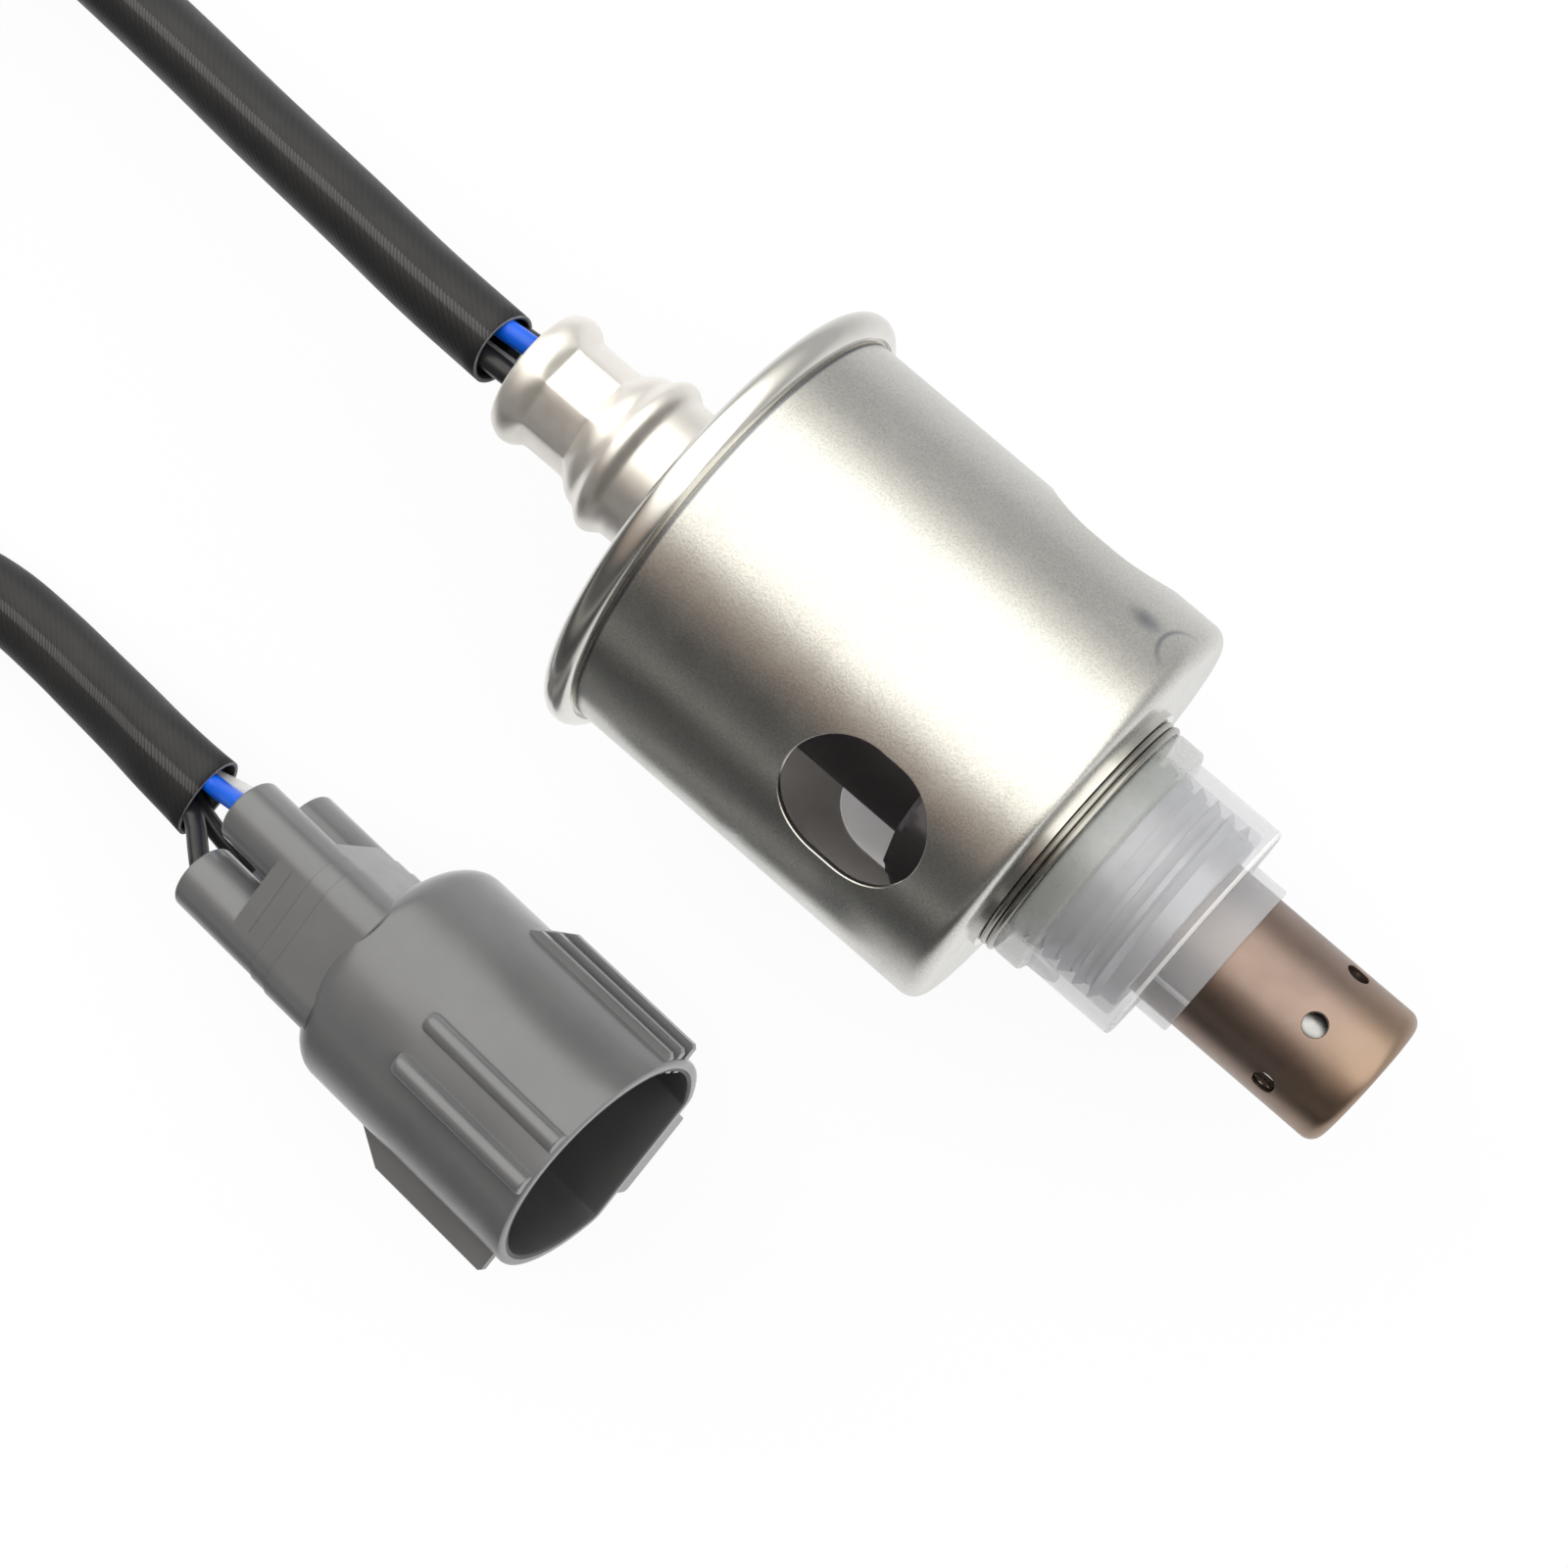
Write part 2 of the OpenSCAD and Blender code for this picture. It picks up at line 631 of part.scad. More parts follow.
// web between the tubes, level with their crowns
module web_section() translate([-tube_y, tube_low_z - tube_r])
    square([2 * tube_y, tube_high_z - tube_low_z + 2 * tube_r]);

// wall of the socket with its rounded rear shoulder
module plug_shell() intersection() {
    along_plug(0, plug_len) plug_section(0);
    translate([0, 0, plug_axis_z]) rotate([0, 90, 0]) rotate_extrude() {
        square([plug_r + plug_dome_over - plug_dome, plug_len + 1]);
        translate([0, plug_dome]) square([plug_r + plug_dome_over, plug_len]);
        translate([plug_r + plug_dome_over - plug_dome, plug_dome]) circle(r = plug_dome);
    }
}

// long guide rib with a rounded crown, on the housing's round top
module top_rib(angle) translate([0, 0, plug_axis_z]) rotate([-angle, 0, 0]) {
    from = plug_len - rib_front_gap - rib_len;
    translate([from, -rib_r, plug_r - rib_root]) cube([rib_len, 2 * rib_r, rib_root + rib_rise]);
    translate([from, 0, plug_r + rib_rise]) rotate([0, 90, 0]) cylinder(r = rib_r, h = rib_len);
}

// flat rib with a slanted start, on the housing's side
module side_rib(side, z, height, len, gap) translate([plug_len - gap - len, 0, z]) {
    foot = plug_r - side_rib_root;
    top = side_rib_root + height;
    translate([0, side * foot, -side_rib_w / 2]) mirror([0, side < 0 ? 1 : 0, 0])
        linear_extrude(height = side_rib_w)
            polygon([[0, 0], [len, 0], [len, top], [side_rib_slant * height, top], [0, side_rib_root]]);
}

module plug_housing() color("Gray") on_plug() difference() {
    union() {
        plug_shell();
        for (i = [0 : 3]) translate([tube_back(i), tube_side(i), tube_height(i)]) rotate([0, 90, 0])
            cylinder(r = tube_r, h = plug_back_wall - tube_back(i));
        along_plug(-web_len, 1) web_section();
        for (i = [0 : 2]) along_plug(collar_step * i - block_len, 1) tube_block_section(collar_grow * i);
        for (side = [-1, 1]) top_rib(rib_mid + side * rib_angle);
        for (i = [0 : 2]) side_rib(1, side_rib_z - side_rib_pitch * i, side_rib_h + side_rib_step * i,
            side_rib_len, side_rib_gap);
        side_rib(-1, side_rib_z, lone_rib_h, lone_rib_len, lone_rib_gap);
        translate([lug_x, -lug_w / 2, -lug_h]) cube([lug_len, lug_w, lug_h + 2]);
    }
    along_plug(plug_back_wall, plug_len + 1) plug_section(plug_wall);
    for (i = [0 : 3]) translate([-tube_len - 1, tube_side(i), tube_height(i)]) rotate([0, 90, 0])
        cylinder(r = tube_bore_r, h = tube_len + 1);
    blade_slots(-1, plug_back_wall + 2);
}

// slots that the four blades pass through
module blade_slots(from, len) for (i = [0 : 3])
    translate([from, tube_side(i) - blade_w / 2 - seat, tube_height(i) - blade_t / 2 - seat])
        cube([len, blade_w + 2 * seat, blade_t + 2 * seat]);

module plug_blades() color("Silver") on_plug() for (i = [0 : 3])
    translate([-blade_root, tube_side(i) - blade_w / 2, tube_height(i) - blade_t / 2])
        cube([plug_back_wall + blade_len + blade_root, blade_w, blade_t]);

module plug_seals() color("SteelBlue") on_plug() for (i = [0 : 3])
    translate([tube_back(i) + seal_sunk, tube_side(i), tube_height(i)]) rotate([0, 90, 0]) difference() {
        union() {
            cylinder(r = tube_bore_r - 0.35, h = seal_h);
            for (k = [0 : seal_lips - 1])
                translate([0, 0, (k + 0.5) * seal_h / seal_lips - seal_lip_w / 2])
                    cylinder(r = tube_bore_r - seat, h = seal_lip_w);
        }
        translate([0, 0, -1]) cylinder(r = wire_r + seat, h = seal_h + 2);
    }

// plate on the socket's floor that locks the blades
module plug_retainer() color("White") on_plug() difference() {
    translate([plug_back_wall + seat, -tube_y - retainer_edge, tube_low_z - retainer_edge])
        cube([retainer_t, 2 * (tube_y + retainer_edge),
            tube_high_z - tube_low_z + retainer_edge + retainer_top]);
    blade_slots(plug_back_wall - 1, retainer_t + 2);
}

heat_shield();
retaining_ring();
crush_gasket();
sensor_shell();
outer_protector();
inner_protector();
sensing_element();
heater_rod();
talc_ring();
ceramic_ring();
crimp_ring();
ceramic_insulator();
contact_terminals();
filter_sleeve();
rear_cover();
rubber_grommet();
protective_cap();
wire_blue();
wire_white();
wire_black_a();
wire_black_b();
sleeve_sensor_end();
sleeve_plug_end();
lead_coil();
coil_tie();
plug_housing();
plug_blades();
plug_seals();
plug_retainer();
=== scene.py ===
"""Heated oxygen sensor: steel heat shield, milky thread cap, woven lead and grey plug on a white floor."""

import logging
import math
from dataclasses import dataclass, field
from enum import Enum
from typing import Iterable, Sequence

import bmesh
import bpy
import numpy as np
from bpy.types import Material, Mesh, Node, NodeOutputs, NodeSocket, NodeTree, Object
from mathutils import Matrix, Vector


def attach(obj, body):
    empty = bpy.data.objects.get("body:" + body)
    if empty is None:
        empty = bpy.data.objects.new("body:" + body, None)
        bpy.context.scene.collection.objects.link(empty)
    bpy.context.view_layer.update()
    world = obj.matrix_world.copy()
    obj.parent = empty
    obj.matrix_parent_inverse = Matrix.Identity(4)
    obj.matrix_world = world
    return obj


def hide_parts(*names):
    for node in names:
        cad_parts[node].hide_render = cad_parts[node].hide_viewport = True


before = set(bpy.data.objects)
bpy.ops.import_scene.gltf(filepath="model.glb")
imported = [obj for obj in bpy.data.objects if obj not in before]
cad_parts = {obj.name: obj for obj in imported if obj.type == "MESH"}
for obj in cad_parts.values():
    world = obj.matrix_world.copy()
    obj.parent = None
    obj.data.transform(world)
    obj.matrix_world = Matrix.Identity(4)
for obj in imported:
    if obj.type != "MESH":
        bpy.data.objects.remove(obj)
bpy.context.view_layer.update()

MM = 0.001
LOG = logging.getLogger("oxygen_sensor")

Rgb = tuple[float, float, float]
Spot = tuple[float, float, float]
Pair = tuple[float, float]
Outline = list[Pair]
WHITE = (1.0, 1.0, 1.0, 1.0)


# Light and camera


@dataclass(frozen=True)
class Camera:
    """The photograph's viewpoint over the floor."""

    place: Spot = (41.98 * MM, 32.77 * MM, 249.27 * MM)
    view: Spot = (-0.15456, -0.28367, -0.94638)
    right: Spot = (0.73045, 0.61218, -0.30279)
    lens: float = 67.69
    film: float = 36.0
    clip_start: float = 0.01
    shift: Pair = (0.0507, 0.1978)

    def build(self) -> Object:
        """Adds the camera and makes it the scene's own.

        Returns:
            The camera.
        """
        data = bpy.data.cameras.new("camera")
        data.sensor_width = self.film
        data.lens = self.lens
        data.shift_x, data.shift_y = self.shift
        data.clip_start = self.clip_start
        view = Vector(self.view).normalized()
        right = Vector(self.right).normalized()
        up = right.cross(view)
        camera = bpy.data.objects.new("camera", data)
        turn = Matrix((right, up, -view)).transposed().to_4x4()
        camera.matrix_world = Matrix.Translation(self.place) @ turn
        bpy.context.scene.collection.objects.link(camera)
        bpy.context.scene.camera = camera
        return camera


class Nodes:
    """Short way to add and join the nodes of one tree."""

    def __init__(self, tree: NodeTree) -> None:
        """Keeps the tree that the nodes go into."""
        self.tree = tree

    def add(self, kind: str, values: dict | None = None, **settings: object) -> Node:
        """Adds a node, sets its properties and fills or joins its inputs.

        Args:
            kind: the node's type name.
            values: input name or number to a plain value or to a socket that feeds it.
            settings: properties of the node itself.

        Returns:
            The new node.
        """
        node = self.tree.nodes.new(kind)
        for key, value in settings.items():
            setattr(node, key, value)
        for key, value in (values or {}).items():
            if isinstance(value, NodeSocket):
                self.tree.links.new(value, node.inputs[key])
            else:
                node.inputs[key].default_value = value
        return node

    def math(self, operation: str, first: object, second: object = 0.0, third: object = 0.0) -> NodeSocket:
        """Adds a math node and gives its result."""
        return self.add("ShaderNodeMath", {0: first, 1: second, 2: third}, operation=operation).outputs[0]

    def ramp(
        self,
        value: NodeSocket,
        span: Pair,
        result: tuple[object, object] = (0.0, 1.0),
        smooth: bool = False,
    ) -> NodeSocket:
        """Maps a span of values on a range of results and holds the ends.

        Args:
            value: what is mapped.
            span: the value at either end.
            result: what comes out at either end.
            smooth: whether the ends are eased.

        Returns:
            The mapped value.
        """
        names = ("From Min", "From Max", "To Min", "To Max")
        values = {"Value": value, **dict(zip(names, (*span, *result)))}
        kind = "SMOOTHSTEP" if smooth else "LINEAR"
        return self.add("ShaderNodeMapRange", values, interpolation_type=kind).outputs[0]

    def mix(self, share: NodeSocket, first: object, second: object) -> NodeSocket:
        """Mixes two colours, each a plain one or a socket.

        Args:
            share: how much of the second colour.
            first: colour at a share of zero.
            second: colour at a share of one.

        Returns:
            The mixed colour.
        """
        values = {"Factor": share}
        for key, value in ((6, first), (7, second)):
            values[key] = value if isinstance(value, NodeSocket) else (*value, 1.0)
        return self.add("ShaderNodeMix", values, data_type="RGBA").outputs[2]

    def split(self, vector: NodeSocket) -> NodeOutputs:
        """Gives a vector's X, Y and Z."""
        return self.add("ShaderNodeSeparateXYZ", {0: vector}).outputs

    def seen(self) -> NodeSocket:
        """One for what the camera sees, also through the clear cap, and zero for all other light."""
        path = self.add("ShaderNodeLightPath").outputs
        return self.math("MAXIMUM", path["Is Camera Ray"], path["Is Transmission Ray"])

    def join(self, source: NodeSocket, target: NodeSocket) -> None:
        """Joins two sockets."""
        self.tree.links.new(source, target)


def fresh_nodes(owner: Material | bpy.types.World) -> Nodes:
    """Empties the node tree of a material or world and gives it.

    Args:
        owner: the material or world.

    Returns:
        The nodes of its empty tree.
    """
    owner.use_nodes = True
    owner.node_tree.nodes.clear()
    return Nodes(owner.node_tree)


@dataclass(frozen=True)
class Studio:
    """White room with a broad soft light to the left of the sensor and a dim right side.

    Each stop of the room is (angle from overhead towards +Y in degrees, colour). Each fade of the
    sheet that the object mirrors is (start along Y, end along Y, what is left of it there).
    """

    stops: tuple[tuple[float, Rgb], ...] = (
        (-125.0, (0.80, 0.80, 0.80)),
        (-98.0, (0.12, 0.12, 0.12)),
        (-90.0, (0.06, 0.06, 0.06)),
        (-79.0, (0.08, 0.08, 0.08)),
        (-69.0, (0.34, 0.33, 0.31)),
        (-59.0, (0.11, 0.11, 0.11)),
        (-48.0, (0.08, 0.08, 0.08)),
        (-38.0, (0.12, 0.115, 0.11)),
        (-28.0, (0.28, 0.23, 0.20)),
        (-18.0, (0.46, 0.38, 0.33)),
        (-10.0, (0.66, 0.61, 0.56)),
        (-3.0, (1.70, 1.66, 1.55)),
        (8.0, (1.95, 1.92, 1.82)),
        (64.0, (1.95, 1.93, 1.86)),
        (75.0, (1.10, 1.08, 1.03)),
        (86.0, (0.72, 0.71, 0.68)),
        (100.0, (0.46, 0.46, 0.45)),
        (125.0, (0.80, 0.80, 0.80)),
    )
    floor_half: float = 1.5
    floor_drop: float = 0.05 * MM
    floor_tone: Rgb = (0.90, 0.915, 0.96)
    floor_lift: float = 0.93
    # painted shade: a fixed patch under the shield where the floor's white glow is cut back, so the real shadow there
    # reads deeper
    shade_lift: float = 0.08
    shade_at: Pair = (-3 * MM, -7 * MM)
    shade_half: Pair = (15 * MM, 11 * MM)
    shade_edge: Pair = (0.5, 1.3)
    fades: tuple[Spot, ...] = ((20 * MM, 75 * MM, 0.55), (-35 * MM, -155 * MM, 0.10))

    def build(self) -> None:
        """Makes the room's light and the floor."""
        self._room()
        self._floor()

    def _room(self) -> None:
        """Builds the world: white to the camera, a soft light and a dim side to the object."""
        world = bpy.data.worlds.new("white_room")
        bpy.context.scene.world = world
        nodes = fresh_nodes(world)
        place = nodes.split(nodes.add("ShaderNodeTexCoord").outputs["Generated"])
        turn = nodes.math("ARCTAN2", place["Y"], place["Z"])
        ramp = nodes.add("ShaderNodeValToRGB", {0: nodes.math("MULTIPLY_ADD", turn, 0.5 / math.pi, 0.5)})
        ramp.color_ramp.interpolation = "EASE"
        self._fill_ramp(ramp.color_ramp)
        room = nodes.add("ShaderNodeBackground", {"Color": ramp.outputs["Color"]})
        white = nodes.add("ShaderNodeBackground", {"Color": WHITE})
        mix = nodes.add("ShaderNodeMixShader", {0: nodes.seen(), 1: room.outputs[0], 2: white.outputs[0]})
        nodes.add("ShaderNodeOutputWorld", {"Surface": mix.outputs[0]})

    def _fill_ramp(self, ramp: bpy.types.ColorRamp) -> None:
        """Writes the room's stops into a ramp over the whole turn.

        Args:
            ramp: the ramp that the stops go into.
        """
        while len(ramp.elements) < len(self.stops):
            ramp.elements.new(0.5)
        for element, (angle, colour) in zip(ramp.elements, self.stops):
            element.position = angle / 360.0 + 0.5
            element.color = (*colour, 1.0)

    def _floor(self) -> None:
        """Builds the pale floor that keeps the object's soft shadow."""
        corners = self.floor_half * np.array([(-1.0, -1.0, 0.0), (1.0, -1.0, 0.0), (1.0, 1.0, 0.0), (-1.0, 1.0, 0.0)])
        corners[:, 2] -= self.floor_drop
        shape = Shape()
        shape.add_face(corners)
        floor = shape.build("floor", [self._floor_finish()], recalculate=False)

    def _floor_finish(self) -> Material:
        """White floor: lit and shaded to the camera, a fading sheet to what mirrors it.

        Returns:
            The floor's material.
        """
        material = bpy.data.materials.new("white_floor")
        nodes = fresh_nodes(material)
        place = nodes.split(nodes.add("ShaderNodeTexCoord").outputs["Object"])
        sides = [nodes.ramp(place["Y"], (start, end), (1.0, left)) for start, end, left in self.fades]
        seen = nodes.seen()
        strength = nodes.math("MAXIMUM", nodes.math("MULTIPLY", *sides), seen)
        lift = nodes.math("MULTIPLY", seen, self._lift_map(nodes, place))
        share = nodes.math("MAXIMUM", lift, nodes.add("ShaderNodeLightPath").outputs["Is Glossy Ray"])
        lit = nodes.add("ShaderNodeBsdfDiffuse", {"Color": (*self.floor_tone, 1.0)})
        glow = nodes.add("ShaderNodeEmission", {"Color": WHITE, "Strength": strength})
        mix = nodes.add("ShaderNodeMixShader", {0: share, 1: lit.outputs[0], 2: glow.outputs[0]})
        nodes.add("ShaderNodeOutputMaterial", {"Surface": mix.outputs[0]})
        return material

    def _lift_map(self, nodes: Nodes, place: NodeOutputs) -> NodeSocket:
        """Share of plain white glow in the floor, cut back in a fixed patch under the shield as painted shade, so
        that the real shadow there reads deeper.

        Args:
            nodes: the floor material's nodes.
            place: X, Y and Z on the floor.

        Returns:
            The share of white.
        """
        squares = []
        for name, middle, half in zip("XY", self.shade_at, self.shade_half):
            off = nodes.math("DIVIDE", nodes.math("SUBTRACT", place[name], middle), half)
            squares.append(nodes.math("MULTIPLY", off, off))
        away = nodes.math("ADD", *squares)
        return nodes.ramp(away, self.shade_edge, (self.shade_lift, self.floor_lift), smooth=True)


# Shader groups that several finishes use


class Effect(Enum):
    """The effects that several finishes share, each a shader group."""

    GRAIN = "fine_grain"
    CLOUD = "cloudy_change"
    WEAVE = "crossing_yarns"


class Effects:
    """Builds each effect's group at its first use and places it in materials."""

    @classmethod
    def place(cls, nodes: Nodes, effect: Effect, values: dict) -> Node:
        """Places an effect in a material with its own values.

        Args:
            nodes: the material's nodes.
            effect: which effect.
            values: the group's inputs by name.

        Returns:
            The placed group.
        """
        makers = {Effect.GRAIN: cls._grain, Effect.CLOUD: cls._cloud, Effect.WEAVE: cls._weave}
        tree = bpy.data.node_groups.get(effect.value) or makers[effect]()
        return nodes.add("ShaderNodeGroup", values, node_tree=tree)

    @staticmethod
    def _start(
        effect: Effect, inputs: dict[str, float], outputs: Sequence[str]
    ) -> tuple[Nodes, NodeOutputs]:
        """Starts a group with a vector, named values and named results, and gives its inputs.

        Args:
            effect: which effect.
            inputs: each input's name and default.
            outputs: the results' names.

        Returns:
            The group's nodes and its inputs.
        """
        tree = bpy.data.node_groups.new(effect.value, "ShaderNodeTree")
        tree.interface.new_socket("Vector", in_out="INPUT", socket_type="NodeSocketVector")
        for name, default in inputs.items():
            socket = tree.interface.new_socket(name, in_out="INPUT", socket_type="NodeSocketFloat")
            socket.default_value = default
        for name in outputs:
            tree.interface.new_socket(name, in_out="OUTPUT", socket_type="NodeSocketFloat")
        nodes = Nodes(tree)
        return nodes, nodes.add("NodeGroupInput").outputs

    @staticmethod
    def _noise(nodes: Nodes, start: NodeOutputs, detail: float, roughness: float) -> NodeSocket:
        """Noise of the group's own size.

        Args:
            nodes: the group's nodes.
            start: the group's inputs.
            detail: number of finer layers.
            roughness: strength of the finer layers.

        Returns:
            The noise's value.
        """
        scale = nodes.math("DIVIDE", 1.0, start["Size"])
        values = {"Vector": start["Vector"], "Scale": scale, "Detail": detail, "Roughness": roughness}
        return nodes.add("ShaderNodeTexNoise", values).outputs[0]

    @classmethod
    def _grain(cls) -> NodeTree:
        """Fine even grain, such as blasted or drawn metal and moulded plastic have.

        Returns:
            The new group.
        """
        nodes, start = cls._start(Effect.GRAIN, {"Size": 0.15 * MM}, ["Height", "Mask"])
        noise = cls._noise(nodes, start, 2.0, 0.6)
        nodes.add("NodeGroupOutput", {"Height": noise, "Mask": nodes.ramp(noise, (0.4, 0.65))})
        return nodes.tree

    @classmethod
    def _cloud(cls) -> NodeTree:
        """Slow cloudy change between two values, for tone and roughness.

        Returns:
            The new group.
        """
        nodes, start = cls._start(Effect.CLOUD, {"Size": 6.0 * MM, "Low": 0.0, "High": 1.0}, ["Value"])
        noise = cls._noise(nodes, start, 4.0, 0.55)
        nodes.add("NodeGroupOutput", {"Value": nodes.ramp(noise, (0.3, 0.7), (start["Low"], start["High"]))})
        return nodes.tree

    @classmethod
    def _weave(cls) -> NodeTree:
        """Crossing helical yarns over a tube, from turns around (x) and metres along (y).

        Returns:
            The new group.
        """
        nodes, start = cls._start(Effect.WEAVE, {"Yarns": 28.0, "Pitch": 0.8 * MM}, ["Height", "Gap"])
        place = nodes.split(start["Vector"])
        around = nodes.math("MULTIPLY", place["X"], start["Yarns"])
        along = nodes.math("DIVIDE", place["Y"], start["Pitch"])
        yarns = []
        for operation in ("ADD", "SUBTRACT"):
            turn = nodes.math("MULTIPLY", nodes.math(operation, around, along), math.pi)
            yarns.append(nodes.math("POWER", nodes.math("ABSOLUTE", nodes.math("SINE", turn)), 0.6))
        height = nodes.math("MAXIMUM", yarns[0], nodes.math("MULTIPLY", yarns[1], 0.45))
        nodes.add("NodeGroupOutput", {"Height": height, "Gap": nodes.ramp(height, (0.35, 0.75), (1.0, 0.0))})
        return nodes.tree


# Finishes


@dataclass(frozen=True)
class Finish:
    """What every finish has: a name, two tones that drift into each other, and a gloss."""

    name: str
    tone: Rgb
    second: Rgb
    roughness: Pair = (0.3, 0.4)
    metallic: float = 0.0
    cloud_size: float = 6.0 * MM
    grain_size: float = 0.15 * MM
    grain_depth: float = 0.004 * MM
    coat: float = 0.0
    coat_roughness: float = 0.22
    specular: float = 0.5

    def build(self) -> Material:
        """Makes the material once and gives it back afterwards.

        Returns:
            The material.
        """
        name = self.name + "_finish"
        if name in bpy.data.materials:
            return bpy.data.materials[name]
        material = bpy.data.materials.new(name)
        nodes = fresh_nodes(material)
        values = {
            "Metallic": self.metallic,
            "Coat Weight": self.coat,
            "Coat Roughness": self.coat_roughness,
            "Specular IOR Level": self.specular,
        }
        shader = nodes.add("ShaderNodeBsdfPrincipled", values)
        nodes.add("ShaderNodeOutputMaterial", {"Surface": shader.outputs[0]})
        self.dress(nodes, shader)
        return material

    def dress(self, nodes: Nodes, shader: Node) -> None:
        """Joins tone, roughness and grain to the shader.

        Args:
            nodes: the material's nodes.
            shader: its main shader.
        """
        vector = self.vector(nodes)
        cloud = Effects.place(nodes, Effect.CLOUD, {"Vector": vector, "Size": self.cloud_size})
        nodes.join(nodes.mix(cloud.outputs[0], self.tone, self.second), shader.inputs["Base Color"])
        low, high = self.roughness
        values = {"Vector": vector, "Size": self.cloud_size * 0.4, "Low": low, "High": high}
        nodes.join(Effects.place(nodes, Effect.CLOUD, values).outputs[0], shader.inputs["Roughness"])
        grain = Effects.place(nodes, Effect.GRAIN, {"Vector": vector, "Size": self.grain_size})
        values = {"Strength": 1.0, "Distance": self.grain_depth, "Height": grain.outputs["Height"]}
        nodes.join(nodes.add("ShaderNodeBump", values).outputs[0], shader.inputs["Normal"])

    @staticmethod
    def vector(nodes: Nodes) -> NodeSocket:
        """Object coordinates."""
        return nodes.add("ShaderNodeTexCoord").outputs["Object"]

    @staticmethod
    def lay_over(nodes: Nodes, shader: Node, share: NodeSocket, tone: Rgb) -> None:
        """Lays a share of a tone over the shader's colour."""
        colour = shader.inputs["Base Color"]
        nodes.join(nodes.mix(share, colour.links[0].from_socket, tone), colour)


@dataclass(frozen=True)
class TipFinish(Finish):
    """Bronze-brown steel whose heat tint drifts along the tip."""

    warm: Rgb = (0.36, 0.255, 0.18)
    warm_share: float = 0.7
    tip_x: float = 44.0 * MM
    warm_len: float = 9.0 * MM

    def dress(self, nodes: Nodes, shader: Node) -> None:
        """Adds a warmer band towards the tip's end.

        Args:
            nodes: the material's nodes.
            shader: its main shader.
        """
        super().dress(nodes, shader)
        x = nodes.split(self.vector(nodes))["X"]
        band = nodes.ramp(x, (self.tip_x - self.warm_len, self.tip_x), (0.0, self.warm_share), smooth=True)
        self.lay_over(nodes, shader, band, self.warm)


@dataclass(frozen=True)
class MilkyFinish(Finish):
    """Milky see-through soft plastic, each of whose faces veils what lies behind it."""

    veil: float = 0.3

    def dress(self, nodes: Nodes, shader: Node) -> None:
        """Lets a share of what lies behind show."""
        super().dress(nodes, shader)
        shader.inputs["Alpha"].default_value = self.veil


@dataclass(frozen=True)
class WovenFinish(Finish):
    """Coated woven sleeve: fine yarns and one lengthwise painted highlight band of slanted strokes.

    It reads the sleeve's own UV map: turns around, where 0.5 is the middle of the painted highlight, and metres
    along.
    """

    yarns: float = 30.0
    pitch: float = 0.85 * MM
    yarn_depth: float = 0.02 * MM
    yarn_strength: float = 0.8
    gap_share: float = 0.3
    gap_tone: Rgb = (0.006, 0.006, 0.007)
    # painted highlight: a lighter lengthwise band of strokes along the sleeve's top side, where the light catches it
    painted_highlight_tone: Rgb = (0.080, 0.079, 0.079)
    highlight_half: float = 6.0
    highlight_fade: float = 1.45
    stroke_pitch: float = 0.42 * MM
    stroke_turn: float = 8.0
    stroke_reach: float = 3.0
    stroke_fade: Pair = (0.25, 0.75)
    stroke_low: float = 0.3
    sheen: float = 0.06
    sheen_roughness: float = 0.35
    sheen_tone: Rgb = (0.76, 0.76, 0.80)

    def dress(self, nodes: Nodes, shader: Node) -> None:
        """Adds the yarns' height and gaps, the painted highlight band and a faint sheen.

        Args:
            nodes: the material's nodes.
            shader: its main shader.
        """
        super().dress(nodes, shader)
        lay = nodes.add("ShaderNodeUVMap", uv_map="lay").outputs[0]
        weave = Effects.place(nodes, Effect.WEAVE, {"Vector": lay, "Yarns": self.yarns, "Pitch": self.pitch})
        gap = nodes.math("MULTIPLY", weave.outputs["Gap"], self.gap_share)
        self.lay_over(nodes, shader, gap, self.gap_tone)
        # painted highlight band
        self.lay_over(nodes, shader, self._painted_highlight(nodes, lay), self.painted_highlight_tone)
        normal = shader.inputs["Normal"]
        height = weave.outputs["Height"]
        values = {"Strength": self.yarn_strength, "Distance": self.yarn_depth, "Height": height}
        bump = nodes.add("ShaderNodeBump", {**values, "Normal": normal.links[0].from_socket})
        nodes.join(bump.outputs[0], normal)
        shader.inputs["Sheen Weight"].default_value = self.sheen
        shader.inputs["Sheen Roughness"].default_value = self.sheen_roughness
        shader.inputs["Sheen Tint"].default_value = (*self.sheen_tone, 1.0)

    def _painted_highlight(self, nodes: Nodes, lay: NodeSocket) -> NodeSocket:
        """Share of the painted highlight band, in degrees around and strokes along.

        Args:
            nodes: the material's nodes.
            lay: turns around and metres along the sleeve.

        Returns:
            The painted highlight's share.
        """
        place = nodes.split(lay)
        degrees = nodes.math("MULTIPLY", nodes.math("SUBTRACT", place["X"], 0.5), 360.0)
        along = nodes.math("DIVIDE", place["Y"], self.stroke_pitch)
        lean = nodes.math("DIVIDE", degrees, self.stroke_turn)
        wave = nodes.math("FRACT", nodes.math("ADD", along, lean))
        ragged = nodes.math("MULTIPLY_ADD", wave, self.stroke_reach, nodes.math("ABSOLUTE", degrees))
        band = nodes.ramp(ragged, (self.highlight_half, self.highlight_half * self.highlight_fade), (1.0, 0.0))
        return nodes.math("MULTIPLY", band, nodes.ramp(wave, self.stroke_fade, (1.0, self.stroke_low)))


